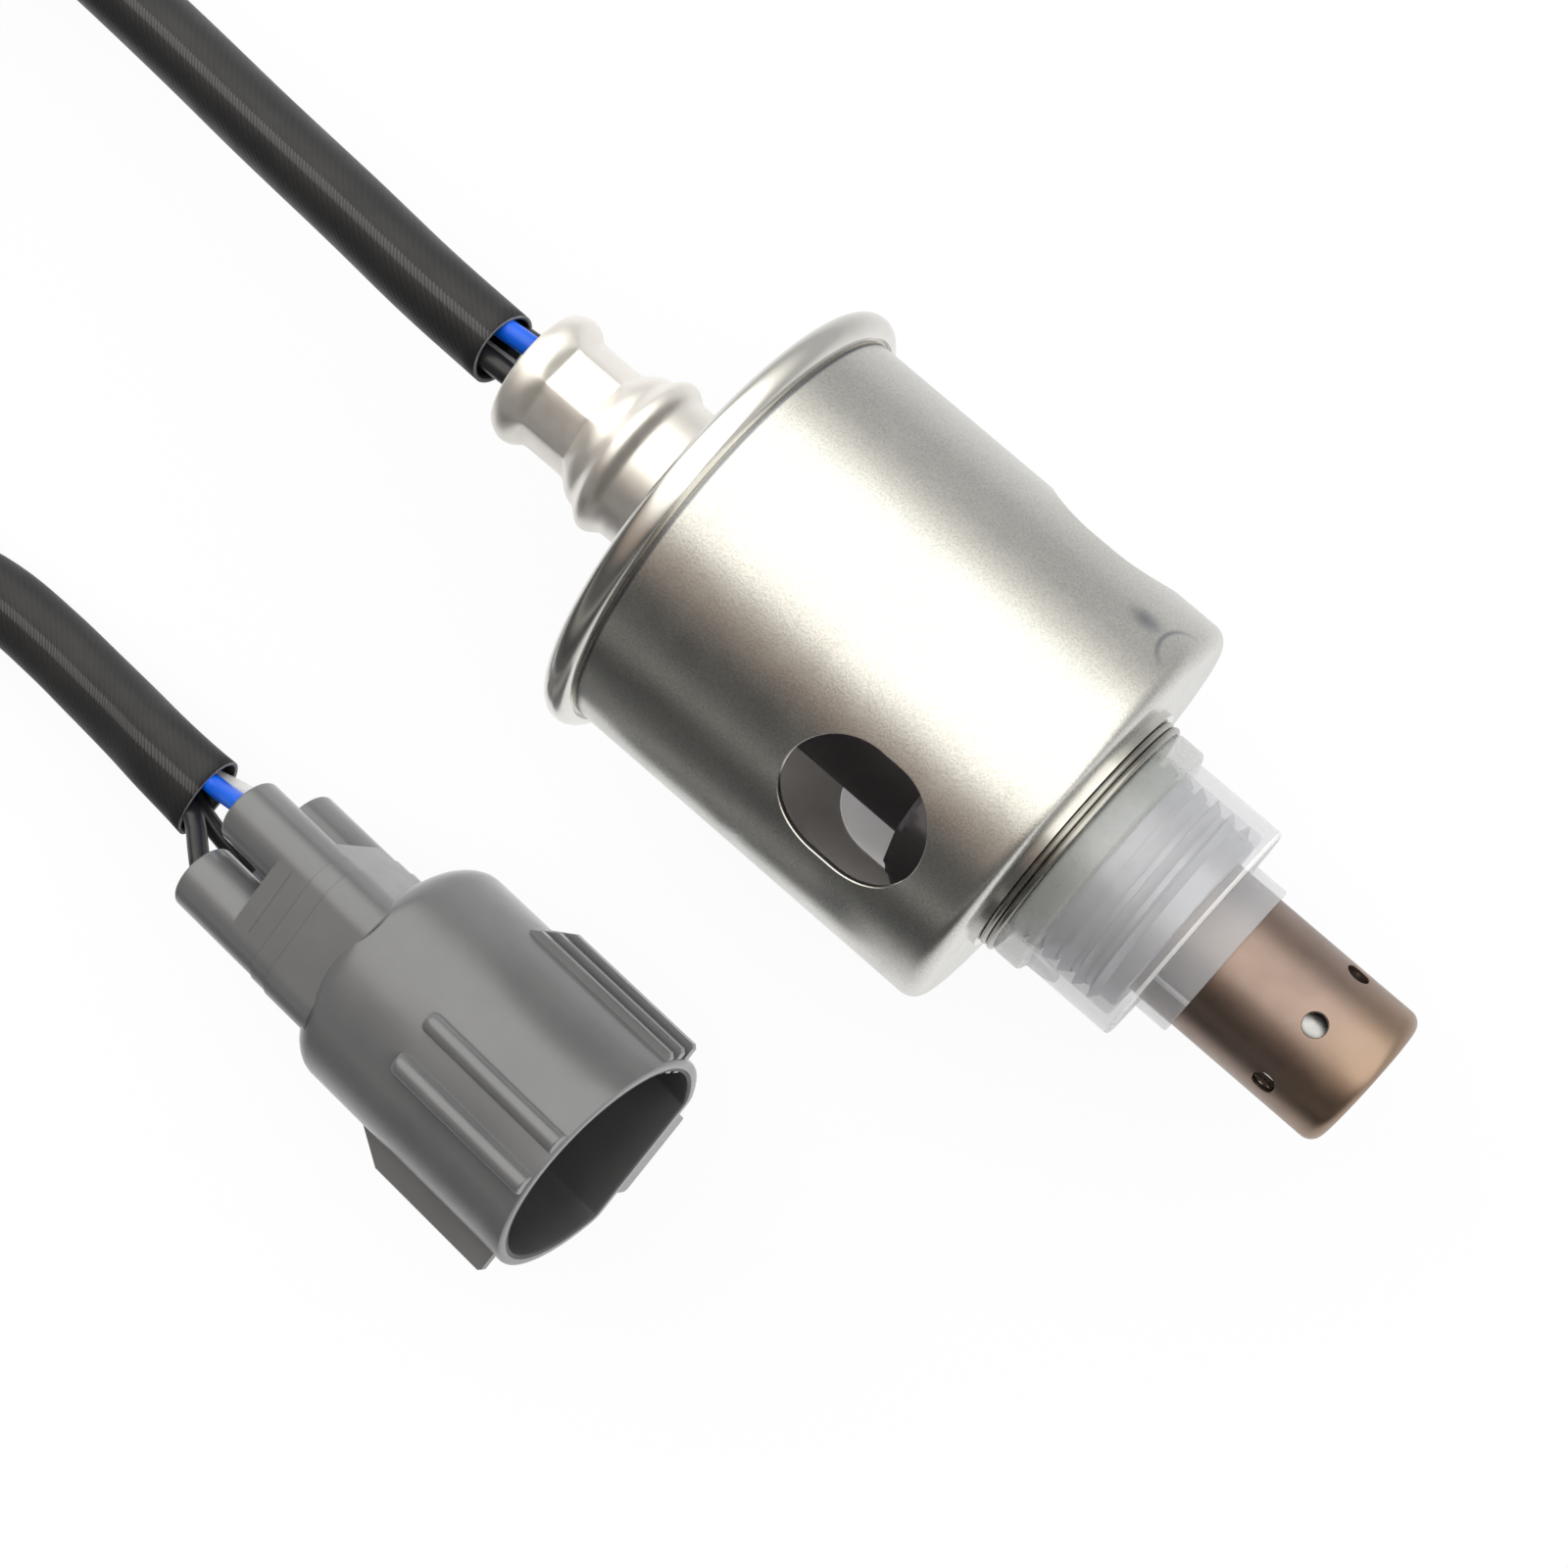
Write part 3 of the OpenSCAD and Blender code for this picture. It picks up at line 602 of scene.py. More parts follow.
@dataclass(frozen=True)
class ShieldFinish(Finish):
    """Satin drawn steel with a speckle, the painted dark reflection of a small dent and of its pressed edge line, and
    painted shade in the bead's seam.
    """

    # painted dark reflection of a small dent and of its arched pressed edge line: places and sizes
    dent_at: Spot = (8.6 * MM, 16.8 * MM, 28.0 * MM)
    dent_half: Pair = (1.7 * MM, 1.4 * MM)
    dent_reach: float = 1.25
    dent_reflection_share: float = 0.8
    painted_dark_tone: Rgb = (0.24, 0.25, 0.28)
    dent_edge_at: Spot = (12.4 * MM, 16.6 * MM, 28.0 * MM)
    dent_edge_half: Pair = (1.9 * MM, 2.8 * MM)
    dent_edge_span: Pair = (0.02, 0.16)
    dent_edge_share: float = 0.75
    speckle: Rgb = (0.26, 0.26, 0.25)
    speckle_share: float = 0.3
    # painted shade: a thin dark line in the crease of the rolled bead's seam
    seam_at: float = -35.58 * MM
    seam_edge: Pair = (0.08 * MM, 0.2 * MM)
    seam_shade_share: float = 0.9

    def dress(self, nodes: Nodes, shader: Node) -> None:
        """Adds the speckle and, by their place on the object, the painted dark reflection of the dent and its edge
        line and the painted shade of the seam.

        Args:
            nodes: the material's nodes.
            shader: its main shader.
        """
        super().dress(nodes, shader)
        vector = self.vector(nodes)
        grain = Effects.place(nodes, Effect.GRAIN, {"Vector": vector, "Size": self.grain_size})
        specks = nodes.math("MULTIPLY", grain.outputs["Mask"], self.speckle_share)
        self.lay_over(nodes, shader, specks, self.speckle)
        # painted dark reflection of the dent, and of its edge line on the rear half only
        away = self._away(nodes, vector, self.dent_at, self.dent_half)
        dent_reflection = nodes.ramp(away, (0.0, self.dent_reach), (self.dent_reflection_share, 0.0), smooth=True)
        off = nodes.math("SUBTRACT", self._away(nodes, vector, self.dent_edge_at, self.dent_edge_half), 1.0)
        line = nodes.ramp(nodes.math("ABSOLUTE", off), self.dent_edge_span, (self.dent_edge_share, 0.0))
        front = self.dent_edge_at[0]
        behind = nodes.ramp(nodes.split(vector)["X"], (front - self.dent_edge_half[0], front), (1.0, 0.0))
        share = nodes.math("MAXIMUM", dent_reflection, nodes.math("MULTIPLY", line, behind))
        # painted shade of the seam's crease, laid in the same painted dark tone
        share = nodes.math("MAXIMUM", share, self._seam_shade(nodes, vector))
        self.lay_over(nodes, shader, share, self.painted_dark_tone)

    def _seam_shade(self, nodes: Nodes, vector: NodeSocket) -> NodeSocket:
        """Painted shade: a thin dark line in the crease where the bead is rolled against the cup's wall.

        Args:
            nodes: the material's nodes.
            vector: place on the object.

        Returns:
            The seam shade's share.
        """
        lean = SensorAxis.nose_down
        ahead = (math.cos(lean), 0.0, -math.sin(lean))
        along = nodes.add("ShaderNodeVectorMath", {0: vector, 1: ahead}, operation="DOT_PRODUCT")
        start = SensorAxis.front_x * ahead[0] + SensorAxis.front_z * ahead[2]
        off = nodes.math("SUBTRACT", along.outputs["Value"], start + self.seam_at)
        return nodes.ramp(nodes.math("ABSOLUTE", off), self.seam_edge, (self.seam_shade_share, 0.0))

    @staticmethod
    def _away(nodes: Nodes, vector: NodeSocket, at: Spot, half: Pair) -> NodeSocket:
        """Distance from a place, in half sizes along X and around the axis.

        Args:
            nodes: the material's nodes.
            vector: place on the object.
            at: the place measured from.
            half: half sizes along X and around the axis.

        Returns:
            The distance.
        """
        for operation, value in (("SUBTRACT", at), ("DIVIDE", (half[0], half[1], half[1]))):
            vector = nodes.add("ShaderNodeVectorMath", {0: vector, 1: value}, operation=operation).outputs[0]
        return nodes.add("ShaderNodeVectorMath", {0: vector}, operation="LENGTH").outputs["Value"]


SATIN_STEEL = ShieldFinish(
    "satin_steel", (0.70, 0.69, 0.65), (0.66, 0.65, 0.61), (0.24, 0.30), 1.0, 9 * MM, 0.19 * MM, 0.008 * MM
)
# painted shade: a slightly darker, rougher copy of the shield's steel for the cup's inside
INSIDE_STEEL = Finish(
    "shaded_steel", (0.68, 0.66, 0.65), (0.60, 0.58, 0.57), (0.40, 0.50), 1.0, 5 * MM, 0.2 * MM, 0.002 * MM
)
# painted shade: darker steel for the shell's hexagon and the cover's front, which sit inside the shield
PAINTED_SHADE_STEEL = Finish(
    "painted_shade_steel", (0.200, 0.185, 0.200), (0.170, 0.158, 0.170), (0.45, 0.55), 1.0, 4 * MM, 0.2 * MM, 0.002 * MM
)
RIM_STEEL = Finish(
    "polished_rim", (0.76, 0.75, 0.71), (0.70, 0.68, 0.64), (0.16, 0.24), 1.0, 5 * MM, 0.2 * MM, 0.0015 * MM
)
COVER_STEEL = Finish(
    "polished_cover", (0.92, 0.89, 0.84), (0.86, 0.83, 0.78), (0.32, 0.40), 0.82, 3 * MM, 0.2 * MM, 0.002 * MM
)
RING_STEEL = Finish(
    "bright_ring", (0.74, 0.73, 0.70), (0.64, 0.63, 0.60), (0.14, 0.24), 1.0, 3 * MM, 0.2 * MM, 0.001 * MM
)
# gasket steel whose dark tone is partly painted shade of the narrow gap between the shield and the cap
GASKET_SHADED_STEEL = Finish(
    "gasket_steel", (0.42, 0.41, 0.38), (0.34, 0.33, 0.31), (0.20, 0.30), 1.0, 3 * MM, 0.2 * MM, 0.001 * MM
)
SHELL_STEEL = Finish(
    "zinc_shell", (0.52, 0.53, 0.56), (0.44, 0.45, 0.49), (0.28, 0.42), 1.0, 4 * MM, 0.15 * MM, 0.002 * MM
)
TIP_STEEL = TipFinish(
    "tinted_tip", (0.31, 0.232, 0.195), (0.25, 0.187, 0.158), (0.32, 0.42), 1.0, 7 * MM, 0.12 * MM, 0.002 * MM
)
INNER_STEEL = Finish(
    "inner_steel", (0.46, 0.46, 0.455), (0.38, 0.38, 0.375), (0.24, 0.34), 1.0, 2 * MM, 0.1 * MM, 0.001 * MM
)
TERMINAL = Finish("terminal_metal", (0.80, 0.72, 0.48), (0.72, 0.66, 0.46), (0.2, 0.3), 1.0, 1 * MM)
CERAMIC = Finish("white_ceramic", (0.86, 0.85, 0.82), (0.80, 0.79, 0.76), (0.3, 0.45), 0.0, 3 * MM)
TALC = Finish("pressed_talc", (0.74, 0.73, 0.68), (0.66, 0.65, 0.60), (0.7, 0.85), 0.0, 1 * MM)
FILTER = Finish("filter_plastic", (0.90, 0.90, 0.90), (0.84, 0.84, 0.85), (0.4, 0.5), 0.0, 2 * MM)
RUBBER = Finish(
    "black_rubber", (0.022, 0.022, 0.023), (0.035, 0.034, 0.034), (0.5, 0.65), 0.0, 2 * MM, 0.1 * MM, 0.004 * MM
)
SEAL = Finish("blue_silicone", (0.10, 0.22, 0.36), (0.12, 0.25, 0.38), (0.4, 0.5), 0.0, 2 * MM)
RETAINER = Finish("retainer_plastic", (0.72, 0.72, 0.69), (0.68, 0.68, 0.65), (0.4, 0.5), 0.0, 4 * MM)
PLUG_PLASTIC = Finish(
    "grey_plastic", (0.120, 0.123, 0.130), (0.134, 0.137, 0.143), (0.28, 0.38), 0.0, 5 * MM, 0.14 * MM, 0.0025 * MM,
    coat=1.0,
)
# painted shade: the same grey plastic, darker, for the socket's inside
PLUG_PAINTED_SHADE = Finish(
    "plastic_painted_shade", (0.050, 0.050, 0.054), (0.058, 0.058, 0.061), (0.4, 0.5), 0.0, 5 * MM, 0.14 * MM, 0.004 * MM
)
BLUE_WIRE = Finish("blue_insulation", (0.0, 0.10, 0.74), (0.0, 0.13, 0.80), (0.3, 0.38), 0.0, 2 * MM)
WHITE_WIRE = Finish("white_insulation", (0.80, 0.80, 0.79), (0.72, 0.72, 0.71), (0.3, 0.4), 0.0, 2 * MM)
BLACK_WIRE = Finish("black_insulation", (0.012, 0.012, 0.014), (0.02, 0.02, 0.022), (0.28, 0.38), 0.0, 2 * MM)
CUT_EDGE = Finish("cut_yarn", (0.30, 0.30, 0.31), (0.22, 0.22, 0.23), (0.6, 0.8), 0.0, 1 * MM)
SLEEVE = WovenFinish(
    "woven_sleeve", (0.015, 0.015, 0.0165), (0.021, 0.0205, 0.021), (0.40, 0.52), 0.0, 8 * MM, 0.1 * MM,
    specular=0.36,
)
CAP = MilkyFinish(
    "milky_plastic", (0.67, 0.68, 0.715), (0.59, 0.60, 0.64), (0.20, 0.28), 0.0, 4 * MM, 0.2 * MM, 0.0004 * MM
)
CAP_SKIRT = MilkyFinish(
    "milky_skirt", (0.54, 0.565, 0.54), (0.45, 0.475, 0.45), (0.24, 0.32), 0.0, 3 * MM, 0.2 * MM, 0.0004 * MM,
    veil=0.42,
)
CAP_EDGE = MilkyFinish(
    "milky_edge", (0.86, 0.87, 0.88), (0.80, 0.81, 0.82), (0.24, 0.32), 0.0, 2 * MM, 0.2 * MM, 0.0004 * MM,
    veil=0.62,
)


# Mesh building


@dataclass
class Shape:
    """Loose points and faces that grow into one piece."""

    points: list[np.ndarray] = field(default_factory=list)
    faces: list[tuple[int, ...]] = field(default_factory=list)
    slots: list[int] = field(default_factory=list)
    count: int = 0

    def add_points(self, points: np.ndarray) -> int:
        """Adds points and gives the first one's number.

        Args:
            points: an array of X, Y and Z.

        Returns:
            The number.
        """
        first = self.count
        self.points.append(np.asarray(points, float).reshape(-1, 3))
        self.count += len(self.points[-1])
        return first

    def add_face(self, points: np.ndarray, slot: int = 0) -> None:
        """Adds one flat face.

        Args:
            points: the face's corners in order.
            slot: its material slot.
        """
        first = self.add_points(points)
        self.faces.append(tuple(range(first, self.count)))
        self.slots.append(slot)

    def add_rows(self, rows: np.ndarray, loop_rows: bool = False, loop_columns: bool = True, slot: int = 0) -> None:
        """Joins rows of points with four-sided faces.

        Args:
            rows: points as an array of row, column and coordinate.
            loop_rows: whether the last row joins the first.
            loop_columns: whether each row's last point joins its first.
            slot: material slot of the new faces.
        """
        row_count, column_count = rows.shape[:2]
        first = self.add_points(rows)
        for i in range(row_count if loop_rows else row_count - 1):
            low = first + i * column_count
            high = first + (i + 1) % row_count * column_count
            for k in range(column_count if loop_columns else column_count - 1):
                after = (k + 1) % column_count
                self.faces.append((low + k, low + after, high + after, high + k))
                self.slots.append(slot)

    def add_bar(self, rows: Sequence[np.ndarray]) -> None:
        """Joins rows of points and closes both ends.

        Args:
            rows: the bar's sections in order.
        """
        self.add_rows(np.array(rows))
        self.add_face(rows[0][::-1])
        self.add_face(rows[-1])

    def build(
        self,
        name: str,
        materials: Iterable[Material],
        sharp: float = 32.0,
        weld: float = 0.002 * MM,
        recalculate: bool = True,
    ) -> Object:
        """Makes the piece.

        Args:
            name: the piece's name.
            materials: one material for each slot.
            sharp: edges that turn by more than this many degrees stay sharp.
            weld: points closer than this become one.
            recalculate: whether faces are turned outwards.

        Returns:
            The new object, at the origin.
        """
        mesh = bpy.data.meshes.new(name)
        mesh.from_pydata(np.concatenate(self.points).tolist(), [], self.faces)
        for material in materials:
            mesh.materials.append(material)
        mesh.polygons.foreach_set("material_index", self.slots)
        work = bmesh.new()
        work.from_mesh(mesh)
        bmesh.ops.remove_doubles(work, verts=work.verts, dist=weld)
        bmesh.ops.dissolve_degenerate(work, edges=work.edges, dist=weld * 0.1)
        if recalculate:
            bmesh.ops.recalc_face_normals(work, faces=work.faces)
        work.to_mesh(mesh)
        work.free()
        return finish_mesh(name, mesh, sharp)


def finish_mesh(name: str, mesh: Mesh, sharp: float = 32.0) -> Object:
    """Smooths a mesh between its sharp edges and links it as an object.

    Args:
        name: the object's name.
        mesh: its mesh.
        sharp: edges that turn by more than this many degrees stay sharp.

    Returns:
        The new object.
    """
    mesh.shade_smooth()
    mesh.set_sharp_from_angle(angle=math.radians(sharp))
    piece = bpy.data.objects.new(name, mesh)
    bpy.context.scene.collection.objects.link(piece)
    LOG.info("%s: %d faces", name, len(mesh.polygons))
    return piece


def rounded(corners: Sequence[Spot], steps: int = 6) -> Outline:
    """Rounds the corners of a closed outline.

    Args:
        corners: (radius, along, fillet) of each corner, in order.
        steps: faces along each fillet.

    Returns:
        The outline's points.
    """
    points: Outline = []
    for i, (x, y, fillet) in enumerate(corners):
        here = np.array([x, y])
        before = np.array(corners[i - 1][:2]) - here
        after = np.array(corners[(i + 1) % len(corners)][:2]) - here
        before /= np.linalg.norm(before)
        after /= np.linalg.norm(after)
        half = math.acos(max(-1.0, min(1.0, float(before @ after)))) / 2
        if fillet <= 0 or half > math.radians(89):
            points.append((x, y))
            continue
        middle = (before + after) / np.linalg.norm(before + after)
        centre = here + middle * fillet / math.sin(half)
        start = here + before * fillet / math.tan(half) - centre
        end = here + after * fillet / math.tan(half) - centre
        turn = math.acos(max(-1.0, min(1.0, float(start @ end) / fillet**2)))
        for k in range(steps + 1):
            share = k / steps
            spin = (math.sin((1 - share) * turn) * start + math.sin(share * turn) * end) / math.sin(turn)
            points.append(tuple(centre + spin))
    return points


def arc(centre: Pair, radius: float, start: float, end: float, steps: int) -> Outline:
    """Points of an arc between two angles in degrees."""
    turns = np.radians(np.linspace(start, end, steps + 1))
    return [(centre[0] + radius * math.cos(t), centre[1] + radius * math.sin(t)) for t in turns]


@dataclass(frozen=True)
class SensorAxis:
    """The resting sensor's own axis: along is measured from the shield's front face to the tip."""

    front_x: float = 13.114 * MM
    front_z: float = 18.660 * MM
    nose_down: float = math.radians(2.693)
    aside: float = 0.0

    def place(self, radius: np.ndarray, roll: np.ndarray, along: np.ndarray) -> np.ndarray:
        """Points in the shared frame; a roll of zero is up and plus turns towards +Y.

        Args:
            radius: distances from the axis.
            roll: turns about it.
            along: places along it.

        Returns:
            X, Y and Z of the points.
        """
        cos, sin = math.cos(self.nose_down), math.sin(self.nose_down)
        up = radius * np.cos(roll)
        return np.stack(
            [
                self.front_x + up * sin + along * cos,
                self.aside + radius * np.sin(roll) + 0 * along,
                self.front_z + up * cos - along * sin,
            ],
            axis=-1,
        )

    def measure(self, point: Vector) -> Pair:
        """Distance of a point from the axis, and how far along it is.

        Args:
            point: a point of the shared frame.

        Returns:
            The distance and the place along.
        """
        cos, sin = math.cos(self.nose_down), math.sin(self.nose_down)
        x, y, z = point[0] - self.front_x, point[1] - self.aside, point[2] - self.front_z
        return math.hypot(y, x * sin + z * cos), x * cos - z * sin

    def lathe(self, outline: Outline, columns: int, phase: float = 0.0) -> np.ndarray:
        """Rows of points that turn an outline of (radius, along) about the axis.

        Args:
            outline: the outline's points.
            columns: points around.
            phase: roll of the first column.

        Returns:
            The rows.
        """
        rolls = phase + np.arange(columns) * 2 * math.pi / columns
        data = np.array(outline)
        return self.place(data[:, 0, None], rolls[None, :], data[:, 1, None])


@dataclass(frozen=True)
class HoleBand:
    """Stretch of a round wall with shaped holes, meshed in rings around each hole."""

    outer: float
    inner: float
    low: float
    high: float
    hole_at: float
    rolls: tuple[float, ...]
    width: float
    length: float
    columns: int
    patch: int
    rows: int
    rings: int = 8
    lip: float = 0.08 * MM

    @property
    def phase(self) -> float:
        """Roll of the first column of points."""
        return math.radians(self.rolls[0])

    def edge(self, slope: np.ndarray, grow: float) -> tuple[np.ndarray, np.ndarray]:
        """Points of the obround edge in the directions of slope, across and along.

        Args:
            slope: directions from the hole's middle.
            grow: how far outside the edge.

        Returns:
            Both coordinates of the points.
        """
        radius = self.width / 2 + grow
        straight = (self.length - self.width) / 2
        cos, sin = np.cos(slope), np.sin(slope)
        flat = radius / np.maximum(np.abs(cos), 1e-9)
        lift = straight * np.abs(sin)
        arc_reach = lift + np.sqrt(np.maximum(lift**2 - straight**2 + radius**2, 0.0))
        reach = np.where(flat * np.abs(sin) <= straight, flat, arc_reach)
        return reach * cos, reach * sin

    def frame_points(self) -> tuple[np.ndarray, np.ndarray]:
        """Roll and along of the points on a patch's frame, relative to the hole's roll.

        Returns:
            The rolls and the places along.
        """
        step = 2 * math.pi / self.columns
        across = np.linspace(-self.patch / 2, self.patch / 2, self.patch + 1) * step
        along = np.linspace(self.low, self.high, self.rows + 1)
        left, right = np.full(self.rows, across[0]), np.full(self.rows, across[-1])
        low, high = np.full(self.patch, self.low), np.full(self.patch, self.high)
        roll = np.concatenate([across[:-1], right, across[:0:-1], left])
        return roll, np.concatenate([low, along[:-1], high, along[:0:-1]])

    def fill(self, shape: Shape, axis: SensorAxis) -> None:
        """Adds both faces of the wall and the holes' edges to a shape.

        Args:
            shape: what the faces go into.
            axis: the wall's axis.
        """
        frame_roll, frame_along = self.frame_points()
        middle = (self.outer + self.inner) / 2
        slope = np.arctan2(frame_along - self.hole_at, frame_roll * middle)
        for roll in self.rolls:
            base = math.radians(roll)
            loops = []
            for radius, outward in ((self.outer, True), (self.inner, False)):
                rows = []
                for k in range(self.rings + 1):
                    share = (k / self.rings) ** 1.8
                    across, along = self.edge(slope, self.lip)
                    turn = np.arcsin(across / radius)
                    spin = turn + (frame_roll - turn) * share
                    height = self.hole_at + along + (frame_along - self.hole_at - along) * share
                    rows.append(axis.place(radius, base + spin, height))
                shape.add_rows(np.array(rows))
                loops.append(rows[0])
            rim = [loops[0]]
            for radius in (self.outer - self.lip, self.inner + self.lip):
                across, along = self.edge(slope, 0.0)
                rim.append(axis.place(radius, base + np.arcsin(across / radius), self.hole_at + along))
            rim.append(loops[1])
            shape.add_rows(np.array(rim))
        self.fill_between(shape, axis)

    def fill_between(self, shape: Shape, axis: SensorAxis) -> None:
        """Adds the plain wall between the holes' patches.

        Args:
            shape: what the faces go into.
            axis: the wall's axis.
        """
        step = 2 * math.pi / self.columns
        along = np.linspace(self.low, self.high, self.rows + 1)
        gap = round(2 * math.pi / len(self.rolls) / step) - self.patch
        if gap <= 0:
            return
        for roll in self.rolls:
            start = math.radians(roll) + self.patch / 2 * step
            turns = start + np.arange(gap + 1) * step
            for radius in (self.outer, self.inner):
                shape.add_rows(axis.place(radius, turns[None, :], along[:, None]), loop_columns=False)


def dress_node(name: str, finish: Finish) -> None:
    """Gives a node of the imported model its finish.

    Args:
        name: the node's name.
        finish: its finish.
    """
    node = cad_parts[name]
    material = finish.build()
    if node.material_slots:
        for slot in node.material_slots:
            slot.material = material
    else:
        node.data.materials.append(material)


def settle(piece: Object, slot: str, *replaced: str) -> Object:
    """Rides a piece on the sensor and hides the nodes that it stands for.

    Args:
        piece: the piece.
        slot: its slot's name; not used.
        replaced: the nodes that it stands for.

    Returns:
        The same piece.
    """
    if replaced:
        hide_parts(*replaced)
    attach(piece, "root")
    return piece


# Geometry node trees


class Tree(Enum):
    """The geometry node trees that the pieces share."""

    SWEEP = "sweep_round"
    ROW = "row_of_pieces"
    THREAD = "screw_thread"


class TreeMaker:
    """Builds each geometry node tree once and runs it on objects."""

    def __init__(self) -> None:
        """Starts with no trees."""
        self.trees: dict[Tree, NodeTree] = {}

    def get(self, tree: Tree) -> NodeTree:
        """Gives a tree, building it at its first use.

        Args:
            tree: which tree.

        Returns:
            The tree.
        """
        if tree not in self.trees:
            maker = {Tree.SWEEP: self._sweep, Tree.ROW: self._row, Tree.THREAD: self._thread}[tree]
            self.trees[tree] = maker(bpy.data.node_groups.new(tree.value, "GeometryNodeTree"))
        return self.trees[tree]

    @staticmethod
    def _sockets(tree: NodeTree, inputs: dict[str, str]) -> tuple[Nodes, NodeOutputs]:
        """Adds the named inputs and the one output, and gives the nodes and what comes in.

        Args:
            tree: the new tree.
            inputs: each input's name and kind.

        Returns:
            The tree's nodes and its inputs.
        """
        tree.interface.new_socket("Geometry", in_out="INPUT", socket_type="NodeSocketGeometry")
        for name, kind in {**inputs, "Finish": "Material"}.items():
            tree.interface.new_socket(name, in_out="INPUT", socket_type="NodeSocket" + kind)
        tree.interface.new_socket("Geometry", in_out="OUTPUT", socket_type="NodeSocketGeometry")
        nodes = Nodes(tree)
        return nodes, nodes.add("NodeGroupInput").outputs

    @staticmethod
    def _end(nodes: Nodes, start: NodeOutputs, last: Node) -> NodeTree:
        """Ends a tree with real meshes in their finish.

        Args:
            nodes: the tree's nodes.
            start: the tree's inputs.
            last: the node whose result comes out.

        Returns:
            The finished tree.
        """
        real = nodes.add("GeometryNodeRealizeInstances", {"Geometry": last.outputs[0]})
        values = {"Geometry": real.outputs[0], "Material": start["Finish"]}
        nodes.add("NodeGroupOutput", {0: nodes.add("GeometryNodeSetMaterial", values).outputs[0]})
        return nodes.tree

    def _sweep(self, tree: NodeTree) -> NodeTree:
        """A round section swept along a path, with each point's place along kept as an attribute.

        Args:
            tree: the new tree.

        Returns:
            The finished tree.
        """
        nodes, start = self._sockets(tree, {"Radius": "Float", "Sides": "Int", "Closed": "Bool"})
        length = nodes.add("GeometryNodeSplineParameter").outputs["Length"]
        values = {"Geometry": start["Geometry"], "Name": "along", "Value": length}
        path = nodes.add("GeometryNodeStoreNamedAttribute", values, data_type="FLOAT", domain="POINT")
        values = {"Resolution": start["Sides"], "Radius": start["Radius"]}
        section = nodes.add("GeometryNodeCurvePrimitiveCircle", values)
        values = {"Curve": path.outputs[0], "Profile Curve": section.outputs[0], "Fill Caps": start["Closed"]}
        return self._end(nodes, start, nodes.add("GeometryNodeCurveToMesh", values))

    def _row(self, tree: NodeTree) -> NodeTree:
        """The piece repeated along one step.

        Args:
            tree: the new tree.

        Returns:
            The finished tree.
        """
        nodes, start = self._sockets(tree, {"Count": "Int", "Step": "Vector"})
        line = nodes.add("GeometryNodeMeshLine", {"Count": start["Count"], "Offset": start["Step"]}, mode="OFFSET")
        values = {"Points": line.outputs[0], "Instance": start["Geometry"]}
        return self._end(nodes, start, nodes.add("GeometryNodeInstanceOnPoints", values))

    def _thread(self, tree: NodeTree) -> NodeTree:
        """A ridge of a screw thread wound about the local Z direction.

        Args:
            tree: the new tree.

        Returns:
            The finished tree.
        """
        nodes, start = self._sockets(tree, {"Radius": "Float", "Pitch": "Float", "Turns": "Float", "Depth": "Float"})
        values = {
            "Resolution": 72,
            "Rotations": start["Turns"],
            "Start Radius": start["Radius"],
            "End Radius": start["Radius"],
            "Height": nodes.math("MULTIPLY", start["Pitch"], start["Turns"]),
        }
        spiral = nodes.add("GeometryNodeCurveSpiral", values)
        ridge = nodes.add("GeometryNodeCurvePrimitiveCircle", {"Resolution": 3, "Radius": start["Depth"]})
        values = {"Curve": spiral.outputs[0], "Profile Curve": ridge.outputs[0], "Fill Caps": True}
        return self._end(nodes, start, nodes.add("GeometryNodeCurveToMesh", values))

    def run(self, source: Object, tree: Tree, finish: Finish, **values: object) -> Mesh:
        """Runs a tree on an object and gives the result as a plain mesh.

        Args:
            source: the object whose geometry goes in; it is removed afterwards.
            tree: which tree.
            finish: the finish of the result.
            values: the tree's inputs by name.

        Returns:
            The finished mesh.
        """
        group = self.get(tree)
        modifier = source.modifiers.new(tree.value, "NODES")
        modifier.node_group = group
        values["Finish"] = finish.build()
        for item in group.interface.items_tree:
            if item.in_out == "INPUT" and item.name in values:
                modifier[item.identifier] = values[item.name]
        bpy.context.view_layer.update()
        graph = bpy.context.evaluated_depsgraph_get()
        done = source.evaluated_get(graph)
        mesh = bpy.data.meshes.new_from_object(done, preserve_all_data_layers=True, depsgraph=graph)
        source.modifiers.remove(modifier)
        bpy.data.objects.remove(source)
        return mesh


TREES = TreeMaker()


def path_object(points: np.ndarray, radii: np.ndarray | None = None) -> Object:
    """Makes a curve object of straight steps through points, with a share of the radius at each.

    Args:
        points: the path's points.
        radii: share of the radius at each point, or none for a full one.

    Returns:
        The curve object.
    """
    curve = bpy.data.curves.new("path", "CURVE")
    curve.dimensions = "3D"
    spline = curve.splines.new("POLY")
    spline.points.add(len(points) - 1)
    shares = np.ones(len(points)) if radii is None else radii
    for target, point, share in zip(spline.points, points, shares):
        target.co = (*point, 1.0)
        target.radius = float(share)
    path = bpy.data.objects.new("path", curve)
    bpy.context.scene.collection.objects.link(path)
    return path


